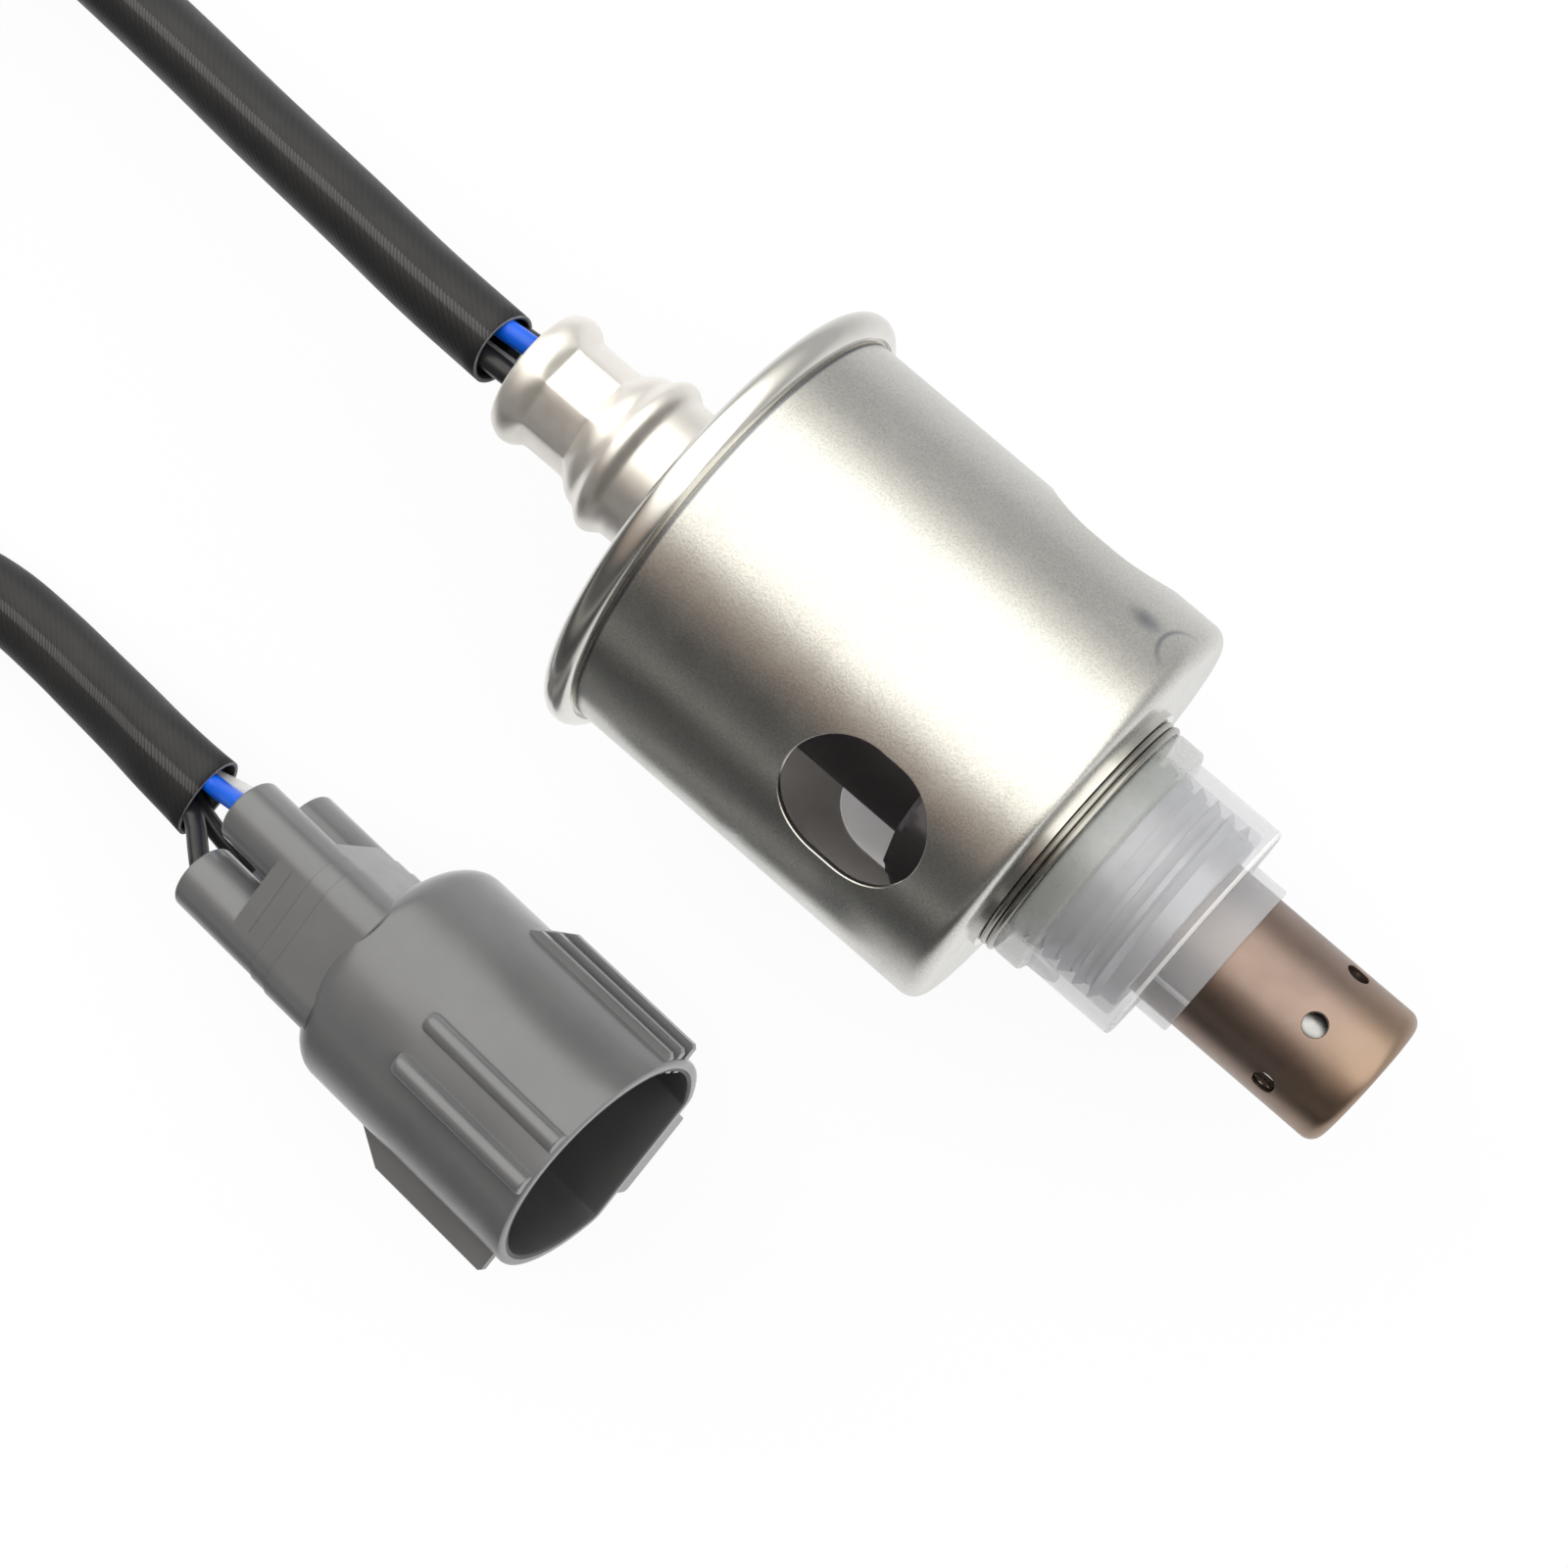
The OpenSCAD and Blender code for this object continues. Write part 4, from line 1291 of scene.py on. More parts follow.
def smooth_path(route: np.ndarray, step: float) -> np.ndarray:
    """Runs a smooth curve through route points and spaces its points evenly.

    Args:
        route: the route's points.
        step: distance between the new points.

    Returns:
        The new points.
    """
    first = 2 * route[0] - route[1]
    last = 2 * route[-1] - route[-2]
    knots = np.vstack([first, route, last])
    fine = []
    for i in range(1, len(knots) - 2):
        a, b, c, d = knots[i - 1 : i + 3]
        for t in np.linspace(0, 1, 24, endpoint=False):
            fine.append(
                0.5 * (2 * b + (c - a) * t + (2 * a - 5 * b + 4 * c - d) * t**2 + (3 * b - a - 3 * c + d) * t**3)
            )
    fine.append(route[-1])
    fine = np.array(fine)
    reach = path_reach(fine)
    marks = np.linspace(0, reach[-1], max(2, int(round(reach[-1] / step)) + 1))
    return np.stack([np.interp(marks, reach, fine[:, k]) for k in range(3)], axis=1)


def path_reach(points: np.ndarray) -> np.ndarray:
    """How far along its path each point lies."""
    return np.concatenate([[0], np.cumsum(np.linalg.norm(np.diff(points, axis=0), axis=1))])


def write_lay(mesh: Mesh, around: np.ndarray, along: np.ndarray) -> None:
    """Turns each point's place around and along a tube into its UV map, without a seam smear.

    Args:
        mesh: the tube's mesh.
        around: each point's turns around.
        along: each point's metres along.
    """
    lay = mesh.uv_layers.new(name="lay")
    for polygon in mesh.polygons:
        turns = [around[mesh.loops[i].vertex_index] for i in polygon.loop_indices]
        wraps = max(turns) - min(turns) > 0.5
        for i, turn in zip(polygon.loop_indices, turns):
            vertex = mesh.loops[i].vertex_index
            lay.data[i].uv = (turn + 1.0 if wraps and turn < 0.5 else turn, along[vertex])


# The lead


@dataclass
class Lead:
    """Woven sleeve with four wires: from the sensor over a neat coil to the plug.

    The route's points are those of the part's source, in millimetres.
    """

    axis: SensorAxis
    plug: "Plug"
    sensor_points: tuple[Spot, ...] = (
        (-47, -0.45, 21.4), (-56, -0.5, 20.4), (-66, -0.35, 18.4), (-78, -0.3, 15.9), (-90, -0.1, 13.4),
        (-102, 0, 11.4), (-114, 0, 10.4), (-124, 0, 10.2), (-134, 0, 10.2),
    )
    plug_points: tuple[Spot, ...] = (
        (-134, -68.5, 3.6), (-124, -67.4, 3.4), (-114, -64.4, 3.3), (-104, -60.2, 3.3), (-94, -56, 3.3),
        (-86, -53, 3.3), (-79, -51.4, 3.5), (-72, -50.9, 4.3), (-66, -50.7, 5.4), (-60, -50.3, 7.2),
    )
    step: float = 1.5 * MM
    sleeve_d: float = 6.5 * MM
    sleeve_wall: float = 0.35 * MM
    wire_d: float = 1.9 * MM
    coil_centre: Pair = (-158 * MM, -29 * MM)
    coil_in_r: float = 29 * MM
    coil_pitch: float = 7 * MM
    coil_turns: float = 1.5
    coil_z: float = 3.65 * MM
    hump_z: float = 10.2 * MM
    hump_end: float = 100.0
    wire_ring: float = 2.05 * MM
    bundle_ring: float = 1.36 * MM
    gather: float = 9 * MM
    flare: Pair = (0.05, 2.2 * MM)
    sways: tuple[Spot, ...] = ((0.012, 7.0 * MM, 0.0), (0.008, 3.1 * MM, 1.0))
    wire_starts: Spot = (-43 * MM, -50 * MM, -57 * MM)
    wire_turn: float = math.radians(90)
    turn_shares: Pair = (0.2, 0.8)
    spread: float = 0.2
    spread_from: float = -134 * MM
    mouth_ring: Pair = (1.6 * MM, 1.05 * MM)
    mouth_flare: float = 0.08
    # roll of the painted highlight band at the sleeve's two ends, in turns
    highlight_roll: Pair = (-0.022, 0.022)

    def coil_route(self) -> np.ndarray:
        """The coil's turns, coming down from the crossing within the first of them.

        Returns:
            The coil's points.
        """
        turns = np.radians(np.arange(0, 360 * self.coil_turns + 1, 22.5))
        radius = self.coil_in_r + self.coil_pitch * turns / (2 * math.pi)
        fall = np.clip(np.degrees(turns) / self.hump_end, 0, 1)
        start_z = self.hump_z - 1.6 * MM
        height = self.coil_z + (start_z - self.coil_z) * (1 - np.sin(fall * math.pi / 2))
        return np.stack(
            [
                self.coil_centre[0] - radius * np.sin(turns),
                self.coil_centre[1] + radius * np.cos(turns),
                height,
            ],
            axis=1,
        )

    def sleeve_path(self) -> np.ndarray:
        """The whole lead's middle line.

        Returns:
            The line's points, evenly spaced.
        """
        mouth = np.array(self.plug.sleeve_mouth)
        ends = [self.plug.at(mouth - (6 * MM, 0, 0)), self.plug.at(mouth)]
        parts = [MM * np.array(self.sensor_points), self.coil_route(), MM * np.array(self.plug_points), ends]
        return smooth_path(np.vstack(parts), self.step)

    def build(self) -> None:
        path = self.sleeve_path()
        self._sleeve(path)
        for wire in WIRES:
            self._wire(wire, path)

    def _sleeve(self, path: np.ndarray) -> None:
        """Builds the hollow sleeve with flared cut ends.

        Args:
            path: the sleeve's middle line.
        """
        reach = path_reach(path)
        from_end = np.minimum(reach, reach[-1] - reach)
        flare = 1.0 + self.flare[0] * np.exp(-from_end / self.flare[1])
        sway = 1.0 + sum(size * np.sin(reach / span + start) for size, span, start in self.sways)
        source = path_object(path, flare * sway)
        mesh = TREES.run(source, Tree.SWEEP, SLEEVE, Radius=self.sleeve_d / 2, Sides=48, Closed=False)
        self._lay(mesh, path, reach)
        work = bmesh.new()
        work.from_mesh(mesh)
        bmesh.ops.recalc_face_normals(work, faces=work.faces)
        work.to_mesh(mesh)
        work.free()
        mesh.materials.clear()
        mesh.materials.append(SLEEVE.build())
        mesh.materials.append(CUT_EDGE.build())
        self._flatten(mesh, path, reach)
        sleeve = finish_mesh("woven_sleeve", mesh)
        face_outwards(sleeve, path)
        wall = sleeve.modifiers.new("wall", "SOLIDIFY")
        wall.thickness = self.sleeve_wall
        wall.offset = -1.0
        wall.material_offset_rim = 1
        settle(sleeve, "woven_sleeve", "sleeve_sensor_end", "lead_coil", "sleeve_plug_end")

    @staticmethod
    def _near(mesh: Mesh, reach: np.ndarray) -> tuple[np.ndarray, np.ndarray, np.ndarray]:
        """The swept mesh's points, how far along they are and the path point of each.

        Args:
            mesh: the swept mesh.
            reach: how far along each point of the path lies.

        Returns:
            The points, their places along and their path points' numbers.
        """
        along = np.empty(len(mesh.vertices))
        mesh.attributes["along"].data.foreach_get("value", along)
        points = np.empty(len(mesh.vertices) * 3)
        mesh.vertices.foreach_get("co", points)
        return points.reshape(-1, 3), along, np.argmin(np.abs(along[:, None] - reach[None]), axis=1)

    def _lay(self, mesh: Mesh, path: np.ndarray, reach: np.ndarray) -> None:
        """Writes the sleeve's UV map so that its painted highlight band lies on top at both ends.

        Args:
            mesh: the swept mesh.
            path: the sleeve's middle line.
            reach: how far along each of its points lies.
        """
        side, above = cross_directions(path)
        points, along, near = self._near(mesh, reach)
        off = points - path[near]
        turn = np.arctan2(np.sum(off * side[near], axis=1), np.sum(off * above[near], axis=1)) / (2 * math.pi)
        line = self.highlight_roll[0] + (self.highlight_roll[1] - self.highlight_roll[0]) * along / reach[-1]
        write_lay(mesh, (turn - line + 0.5) % 1.0, along)

    def _flatten(self, mesh: Mesh, path: np.ndarray, reach: np.ndarray) -> None:
        """Spreads the sleeve sideways and presses it lower towards the plug.

        Args:
            mesh: the swept mesh.
            path: the sleeve's middle line.
            reach: how far along each of its points lies.
        """
        side, above = cross_directions(path)
        start = reach[len(path) - np.argmax(path[::-1, 0] < self.spread_from)]
        points, _, near = self._near(mesh, reach)
        off = points - path[near]
        grow = 1 + self.spread * np.clip((reach[near] - start) / (reach[-1] - start), 0, 1)
        grow += self.mouth_flare * np.exp((reach[near] - reach[-1]) / (3 * MM))
        wide = np.sum(off * side[near], axis=1)[:, None] * side[near]
        high = np.sum(off * above[near], axis=1)[:, None] * above[near]
        points += wide * (grow - 1)[:, None] + high * (1 / grow - 1)[:, None]
        mesh.vertices.foreach_set("co", points.ravel())

    def _wire(self, wire: "Wire", path: np.ndarray) -> None:
        """Builds one wire from the grommet through the sleeve into its tube in the plug.

        Args:
            wire: which wire.
            path: the sleeve's middle line.
        """
        points = self.wire_path(wire, path)
        source = path_object(points)
        mesh = TREES.run(source, Tree.SWEEP, wire.finish, Radius=self.wire_d / 2, Sides=14, Closed=True)
        piece = settle(finish_mesh(wire.node + "_insulation", mesh), wire.slot, wire.node)

    def wire_path(self, wire: "Wire", path: np.ndarray) -> np.ndarray:
        """Middle line of one wire.

        Args:
            wire: which wire.
            path: the sleeve's middle line.

        Returns:
            The wire's points from the sensor's inside to the plug's tube.
        """
        roll = math.radians(wire.roll)
        start = [self.axis.place(self.wire_ring, roll, along) for along in self.wire_starts]
        side, above = cross_directions(path)
        reach = path_reach(path)
        total = reach[-1]
        near = np.exp(-reach / self.gather)
        ring = self.bundle_ring + (self.wire_ring - self.bundle_ring) * near
        first, last = self.turn_shares
        angle = self.wire_turn * np.clip((reach / total - first) / (last - first), 0, 1) - roll
        middle = path + side * (ring * np.sin(angle))[:, None] + above * (ring * np.cos(angle))[:, None]
        keep = (reach > 3 * MM) & (reach < total - 5 * MM)
        tube = self.plug.tube_place(wire.tube)
        mouth = np.array(self.plug.sleeve_mouth)
        out = (0.0, self.mouth_ring[0] * np.sign(tube[1]), self.mouth_ring[1] * np.sign(tube[2] - mouth[2]))
        ends = [mouth + out - (0.5 * MM, 0, 0), (mouth + out + tube) / 2 + (0.1 * MM, 0, 0)]
        ends += [tube + (depth, 0, 0) for depth in (0.0, 1.5 * MM, 7.0 * MM)]
        return smooth_path(np.vstack([start, middle[keep][::4], self.plug.at(np.array(ends))]), self.step)


def cross_directions(path: np.ndarray) -> tuple[np.ndarray, np.ndarray]:
    """Level sideways direction and the one above it, at each point of a path.

    Args:
        path: the path's points.

    Returns:
        Both directions at each point.
    """
    ahead = np.gradient(path, axis=0)
    ahead /= np.linalg.norm(ahead, axis=1)[:, None]
    side = np.cross((0.0, 0.0, 1.0), ahead)
    side /= np.linalg.norm(side, axis=1)[:, None]
    return side, np.cross(ahead, side)


def face_outwards(piece: Object, path: np.ndarray) -> None:
    """Turns an open tube's faces away from its path.

    Args:
        piece: the tube.
        path: its middle line.
    """
    mesh = piece.data
    polygon = mesh.polygons[0]
    near = path[np.argmin(np.linalg.norm(path - np.array(polygon.center), axis=1))]
    if Vector(polygon.normal).dot(polygon.center - Vector(near)) < 0:
        mesh.flip_normals()


@dataclass(frozen=True)
class Wire:
    """One insulated wire: its node, its place in the sensor and its tube in the plug."""

    node: str
    slot: str
    finish: Finish
    roll: float
    tube: int


WIRES = (
    Wire("wire_blue", "blue_insulation", BLUE_WIRE, 45.0, 0),
    Wire("wire_black_a", "black_insulation", BLACK_WIRE, 135.0, 1),
    Wire("wire_white", "white_insulation", WHITE_WIRE, 225.0, 3),
    Wire("wire_black_b", "black_insulation", BLACK_WIRE, 315.0, 2),
)


# The sensor


@dataclass
class HeatShield:
    """Drawn steel cup with three obround windows and a rolled rim."""

    axis: SensorAxis
    radius: float = 18.75 * MM
    wall: float = 0.6 * MM
    corner: float = 1.5 * MM
    length: float = 37 * MM
    bead_r: float = 1.25 * MM
    bead_out: float = 0.42 * MM
    bead_len: float = 1.32 * MM
    bore: float = 9.45 * MM
    window_at: float = -11.8 * MM
    window_w: float = 10.8 * MM
    window_len: float = 12.8 * MM
    window_roll: float = -24.4
    windows: int = 3
    band_half: float = 8.6 * MM
    bore_edge: float = 17 * MM
    columns: int = 240

    def rim(self, low: float) -> Outline:
        """Outline from the inner wall round the rolled bead to the outer wall.

        Args:
            low: rear end of the windows' band.

        Returns:
            The outline.
        """
        inner = self.radius - self.wall
        centre = (self.radius + self.bead_out, -self.length)
        outline = [(inner, low), (inner, -self.length + 1.6 * MM), (inner - 0.03 * MM, -self.length + 1.0 * MM)]
        outline += arc(centre, self.bead_r, 160, 452, 44)
        outline += [
            (self.radius + 0.24 * MM, -self.length + 1.08 * MM),
            (self.radius + 0.12 * MM, -self.length + 0.86 * MM),
            (self.radius, -self.length + 0.95 * MM),
            (self.radius, -self.length + 1.3 * MM),
            (self.radius, low),
        ]
        return outline

    def front(self, high: float) -> Outline:
        """Outline from the outer wall over the front corner and face to the inner wall.

        Args:
            high: front end of the windows' band.

        Returns:
            The outline.
        """
        inner_corner = self.corner - self.wall
        outer_centre = (self.radius - self.corner, -self.corner)
        outline = [(self.radius, high)]
        outline += arc(outer_centre, self.corner, 0, 90, 10)
        outline += [(self.bore, 0.0), (self.bore, -self.wall)]
        outline += arc(outer_centre, inner_corner, 90, 0, 8)
        outline += [(self.radius - self.wall, high)]
        return outline

    def build(self) -> Object:
        """Builds the cup as one closed sheet.

        Returns:
            The shield.
        """
        band = HoleBand(
            self.radius,
            self.radius - self.wall,
            self.window_at - self.band_half,
            self.window_at + self.band_half,
            self.window_at,
            tuple(self.window_roll + 360.0 * i / self.windows for i in range(self.windows)),
            self.window_w,
            self.window_len,
            self.columns,
            patch=60,
            rows=26,
        )
        shape = Shape()
        band.fill(shape, self.axis)
        for outline in (self.rim(band.low), self.front(band.high)):
            shape.add_rows(self.axis.lathe(self.subdivide(outline), self.columns, band.phase))
        finishes = [SATIN_STEEL.build(), RIM_STEEL.build(), INSIDE_STEEL.build()]
        shield = shape.build("drawn_heat_shield", finishes, sharp=40)
        self._sort_faces(shield)
        return settle(shield, "shield_steel", "heat_shield")

    @staticmethod
    def subdivide(outline: Outline, step: float = 1.6 * MM) -> Outline:
        """Splits an outline's long straight runs.

        Args:
            outline: the outline.
            step: longest run that stays whole.

        Returns:
            The finer outline.
        """
        points: Outline = [outline[0]]
        for (x, y), (end_x, end_y) in zip(outline, outline[1:]):
            parts = max(1, math.ceil(math.hypot(end_x - x, end_y - y) / step))
            shares = [k / parts for k in range(1, parts + 1)]
            points += [(x + (end_x - x) * share, y + (end_y - y) * share) for share in shares]
        return points

    def _sort_faces(self, shield: Object) -> None:
        """Gives the rolled bead its polished finish and the cup's inside its shaded one.

        Args:
            shield: the built cup.
        """
        for polygon in shield.data.polygons:
            radius, along = self.axis.measure(polygon.center)
            if along < self.bead_len - self.length:
                polygon.material_index = 1
            elif along < -self.corner and radius < self.radius - self.wall * 0.6:
                polygon.material_index = 2
            elif along < -self.wall * 0.6 and radius < self.bore_edge:
                polygon.material_index = 2


@dataclass
class RearCover:
    """Polished cover with a flared lip, a neck crimped into flats and two bellows bulges.

    From one of the radii to the next it widens between the ends of a slope. The humps are the lip
    and the bulges: place along, half width and height. Slopes and humps are in millimetres.
    """

    axis: SensorAxis
    back: float = -56.6 * MM
    front: float = -8.8 * MM
    radii: tuple[float, ...] = (5.2 * MM, 6.5 * MM, 8.0 * MM, 9.15 * MM)
    slopes: tuple[Pair, ...] = ((-49.3, -46.0), (-42.0, -38.8), (-36.0, -33.5))
    humps: tuple[Spot, ...] = ((-55.5, 2.3, 0.8), (-48.3, 1.9, 0.55), (-45.8, 1.7, 0.78))
    wall: float = 0.5 * MM
    neck_at: float = -51.7 * MM
    flats: int = 8
    flat_phase: float = 6.0
    flat_half: float = 2.2 * MM
    flat_slope: float = 1.1
    flat_rise: float = 0.14 * MM
    flat_soft: float = 0.2 * MM
    shaded_from: float = -35 * MM
    columns: int = 288

    @staticmethod
    def hump(z: np.ndarray, at: float, half: float, height: float) -> np.ndarray:
        """A smooth hump of a given half width and height."""
        return np.where(np.abs(z - at) < half, height * np.cos(np.pi / 2 * (z - at) / half) ** 2, 0.0)

    @staticmethod
    def ease(z: np.ndarray, start: float, end: float) -> np.ndarray:
        """A smooth step from zero to one."""
        share = np.clip((z - start) / (end - start), 0, 1)
        return (1 - np.cos(np.pi * share)) / 2

    def radius(self, along: np.ndarray) -> np.ndarray:
        """Outside radius before the crimping.

        Args:
            along: places along the axis.

        Returns:
            The radius at each place.
        """
        z = along / MM
        body = self.radii[0] + 0 * z
        for (start, end), low, high in zip(self.slopes, self.radii, self.radii[1:]):
            body = body + (high - low) * self.ease(z, start, end)
        return body + MM * sum(self.hump(z, *hump) for hump in self.humps)

    def crimped(self, rolls: np.ndarray, along: np.ndarray) -> np.ndarray:
        """Outside radius with the flats pressed into the neck.

        Args:
            rolls: turns about the axis.
            along: places along it.

        Returns:
            The radius at each place and turn.
        """
        plain = np.repeat(self.radius(along)[:, None], len(rolls), axis=1)
        step = 2 * math.pi / self.flats
        off = (rolls - math.radians(self.flat_phase)) % step - step / 2
        plane = self.radii[0] * math.cos(step / 2) + self.flat_rise
        past = np.maximum(np.abs(along - self.neck_at) - self.flat_half, 0.0)
        flat = (plane + past * self.flat_slope)[:, None] / np.cos(off)[None, :]
        return -self.flat_soft * np.logaddexp(-plain / self.flat_soft, -flat / self.flat_soft)

    def build(self) -> Object:
        """Builds the cover as one closed wall.

        Returns:
            The cover.
        """
        rolls = np.arange(self.columns) * 2 * math.pi / self.columns
        fine = np.concatenate([np.linspace(self.back, -43.5 * MM, 110), np.linspace(-43.2 * MM, self.front, 40)])
        outer = self.crimped(rolls, fine)
        coarse = fine[::-3]
        inner = self.radius(coarse)[:, None] - self.wall + 0 * rolls[None, :]
        inner = np.minimum(inner, np.interp(coarse, fine, outer.min(axis=1))[:, None] - 0.35 * MM)
        lip = np.stack([inner[-1] + 0.1 * MM, (inner[-1] + outer[0]) / 2, outer[0] - 0.08 * MM])
        lip_along = self.back - np.array([0.10 * MM, 0.20 * MM, 0.10 * MM])
        walls = ((outer, fine), (inner, coarse), (lip, lip_along))
        rows = [self.axis.place(radius, rolls[None, :], along[:, None]) for radius, along in walls]
        shape = Shape()
        shape.add_rows(np.concatenate(rows), loop_rows=True)
        cover = shape.build("crimped_rear_cover", [COVER_STEEL.build(), PAINTED_SHADE_STEEL.build()], sharp=42)
        # painted shade: the cover's front, inside the shield, takes the darker steel
        for polygon in cover.data.polygons:
            polygon.material_index = int(self.axis.measure(polygon.center)[1] > self.shaded_from)
        return settle(cover, "cover_steel", "rear_cover")


@dataclass
class ThreadedShell:
    """Turned shell: wrench hexagon, spigot, screw thread and rear boss."""

    axis: SensorAxis
    hex_across: float = 22 * MM
    hex_back: float = -9.4 * MM
    hex_front: float = -0.6 * MM
    thread_r: float = 8.9 * MM
    thread_start: float = 2.1 * MM
    thread_end: float = 11.95 * MM
    pitch: float = 1.5 * MM
    depth: float = 0.62 * MM

    def build(self) -> Object:
        """Builds the shell with its wound thread.

        Returns:
            The shell.
        """
        shape = Shape()
        root = self.thread_r - self.depth
        corners = (
            (9.4, -1.2, 0), (9.4, 0.5, 0), (root / MM, 0.5, 0), (root / MM, self.thread_end / MM, 0.3),
            (6.45, self.thread_end / MM, 0), (6.45, 10.55, 0), (4.6, 10.55, 0), (4.6, -3, 0), (6.3, -3, 0),
            (6.3, -14.6, 0), (7.45, -14.6, 0.3), (7.45, -8, 0), (9, -8, 0),
        )
        outline = rounded([(radius * MM, along * MM, fillet * MM) for radius, along, fillet in corners])
        shape.add_rows(self.axis.lathe(outline, 96), loop_rows=True)
        self._hexagon(shape)
        shell = shape.build("turned_shell", [SHELL_STEEL.build(), PAINTED_SHADE_STEEL.build()])
        # painted shade: the hexagon and rear boss, inside the shield, take the darker steel
        for polygon in shell.data.polygons:
            polygon.material_index = int(self.axis.measure(polygon.center)[1] < self.hex_front / 2)
        thread = self._thread()
        return settle(join_pieces("turned_shell", [shell, thread]), "shell_steel", "sensor_shell")

    def _hexagon(self, shape: Shape) -> None:
        """Adds the hexagon with its chamfered back corners.

        Args:
            shape: what the faces go into.
        """
        columns = 144
        rolls = np.arange(columns) * 2 * math.pi / columns
        off = (rolls + math.pi / 6) % (math.pi / 3) - math.pi / 6
        flat = self.hex_across / 2 / np.cos(off)
        limit = self.hex_across / 2 + 0.5 * MM
        rows = []
        for along, cap in (
            (self.hex_back, limit),
            (self.hex_back + 0.5 * MM, limit + 0.6 * MM),
            (self.hex_back + 1.3 * MM, limit + 2 * MM),
            (self.hex_front, limit + 2 * MM),
        ):
            rows.append(self.axis.place(np.minimum(flat, cap), rolls, along + 0 * rolls))
        for along, radius in ((self.hex_front, 8.0 * MM), (self.hex_back, 7.2 * MM)):
            rows.append(self.axis.place(radius + 0 * rolls, rolls, along + 0 * rolls))
        shape.add_rows(np.array(rows), loop_rows=True)

    def _thread(self) -> Object:
        """Winds the thread's ridge and lays it on the sensor's axis.

        Returns:
            The thread's ridge.
        """
        mesh = TREES.run(
            path_object(np.zeros((2, 3))),
            Tree.THREAD,
            SHELL_STEEL,
            Radius=self.thread_r - self.depth * 0.62,
            Pitch=self.pitch,
            Turns=(self.thread_end - 1.2 * MM - self.thread_start) / self.pitch,
            Depth=self.depth,
        )
        points = np.zeros(len(mesh.vertices) * 3)
        mesh.vertices.foreach_get("co", points)
        points = points.reshape(-1, 3)
        radius = np.hypot(points[:, 0], points[:, 1])
        roll = np.arctan2(points[:, 1], points[:, 0])
        laid = self.axis.place(radius, roll, points[:, 2] + self.thread_start)
        mesh.vertices.foreach_set("co", laid.ravel())
        return finish_mesh("wound_thread", mesh)


def join_pieces(name: str, pieces: Sequence[Object]) -> Object:
    """Joins finished pieces with the same finishes into one.

    Args:
        name: the joined piece's name.
        pieces: what is joined.

    Returns:
        The joined piece.
    """
    work = bmesh.new()
    for piece in pieces:
        work.from_mesh(piece.data)
    materials = list(pieces[0].data.materials)
    for piece in pieces:
        bpy.data.objects.remove(piece)
    mesh = bpy.data.meshes.new(name)
    bmesh.ops.recalc_face_normals(work, faces=work.faces)
    work.to_mesh(mesh)
    work.free()
    for material in materials:
        mesh.materials.append(material)
    return finish_mesh(name, mesh)


@dataclass
class Tip:
    """Closed protector tube with a ring of gas holes."""

    axis: SensorAxis
    radius: float = 6.4 * MM
    wall: float = 0.5 * MM
    start: float = 10.55 * MM
    end: float = 30.6 * MM
    corner: float = 1.2 * MM
    hole_at: float = 24.4 * MM
    hole_d: float = 2.0 * MM
    hole_roll: float = 15.0
    holes: int = 6
    band_half: float = 1.8 * MM

    def build(self) -> Object:
        """Builds the tip as one closed wall.

        Returns:
            The tip.
        """
        columns = 216
        inner = self.radius - self.wall
        band = HoleBand(
            self.radius,
            inner,
            self.hole_at - self.band_half,
            self.hole_at + self.band_half,
            self.hole_at,
            tuple(self.hole_roll + 360 * i / self.holes for i in range(self.holes)),
            self.hole_d,
            self.hole_d,
            columns,
            patch=20,
            rows=14,
            rings=6,
            lip=0.06 * MM,
        )
        shape = Shape()
        band.fill(shape, self.axis)
        back = [(inner, band.low), (inner, self.start), (self.radius, self.start), (self.radius, band.low)]
        centre = (self.radius - self.corner, self.end - self.corner)
        hole = self.hole_d / 2
        front = [(self.radius, band.high)]
        front += arc(centre, self.corner, 0, 90, 10)
        front += [(hole + 0.1 * MM, self.end), (hole, self.end - 0.1 * MM), (hole, self.end - self.wall)]
        front += arc(centre, self.corner - self.wall, 90, 0, 8)
        front += [(inner, band.high)]
        for outline in (back, front):
            shape.add_rows(self.axis.lathe(HeatShield.subdivide(outline), columns, band.phase))
        tip = shape.build("holed_tip", [TIP_STEEL.build()], sharp=40)
        return settle(tip, "tinted_steel", "outer_protector")


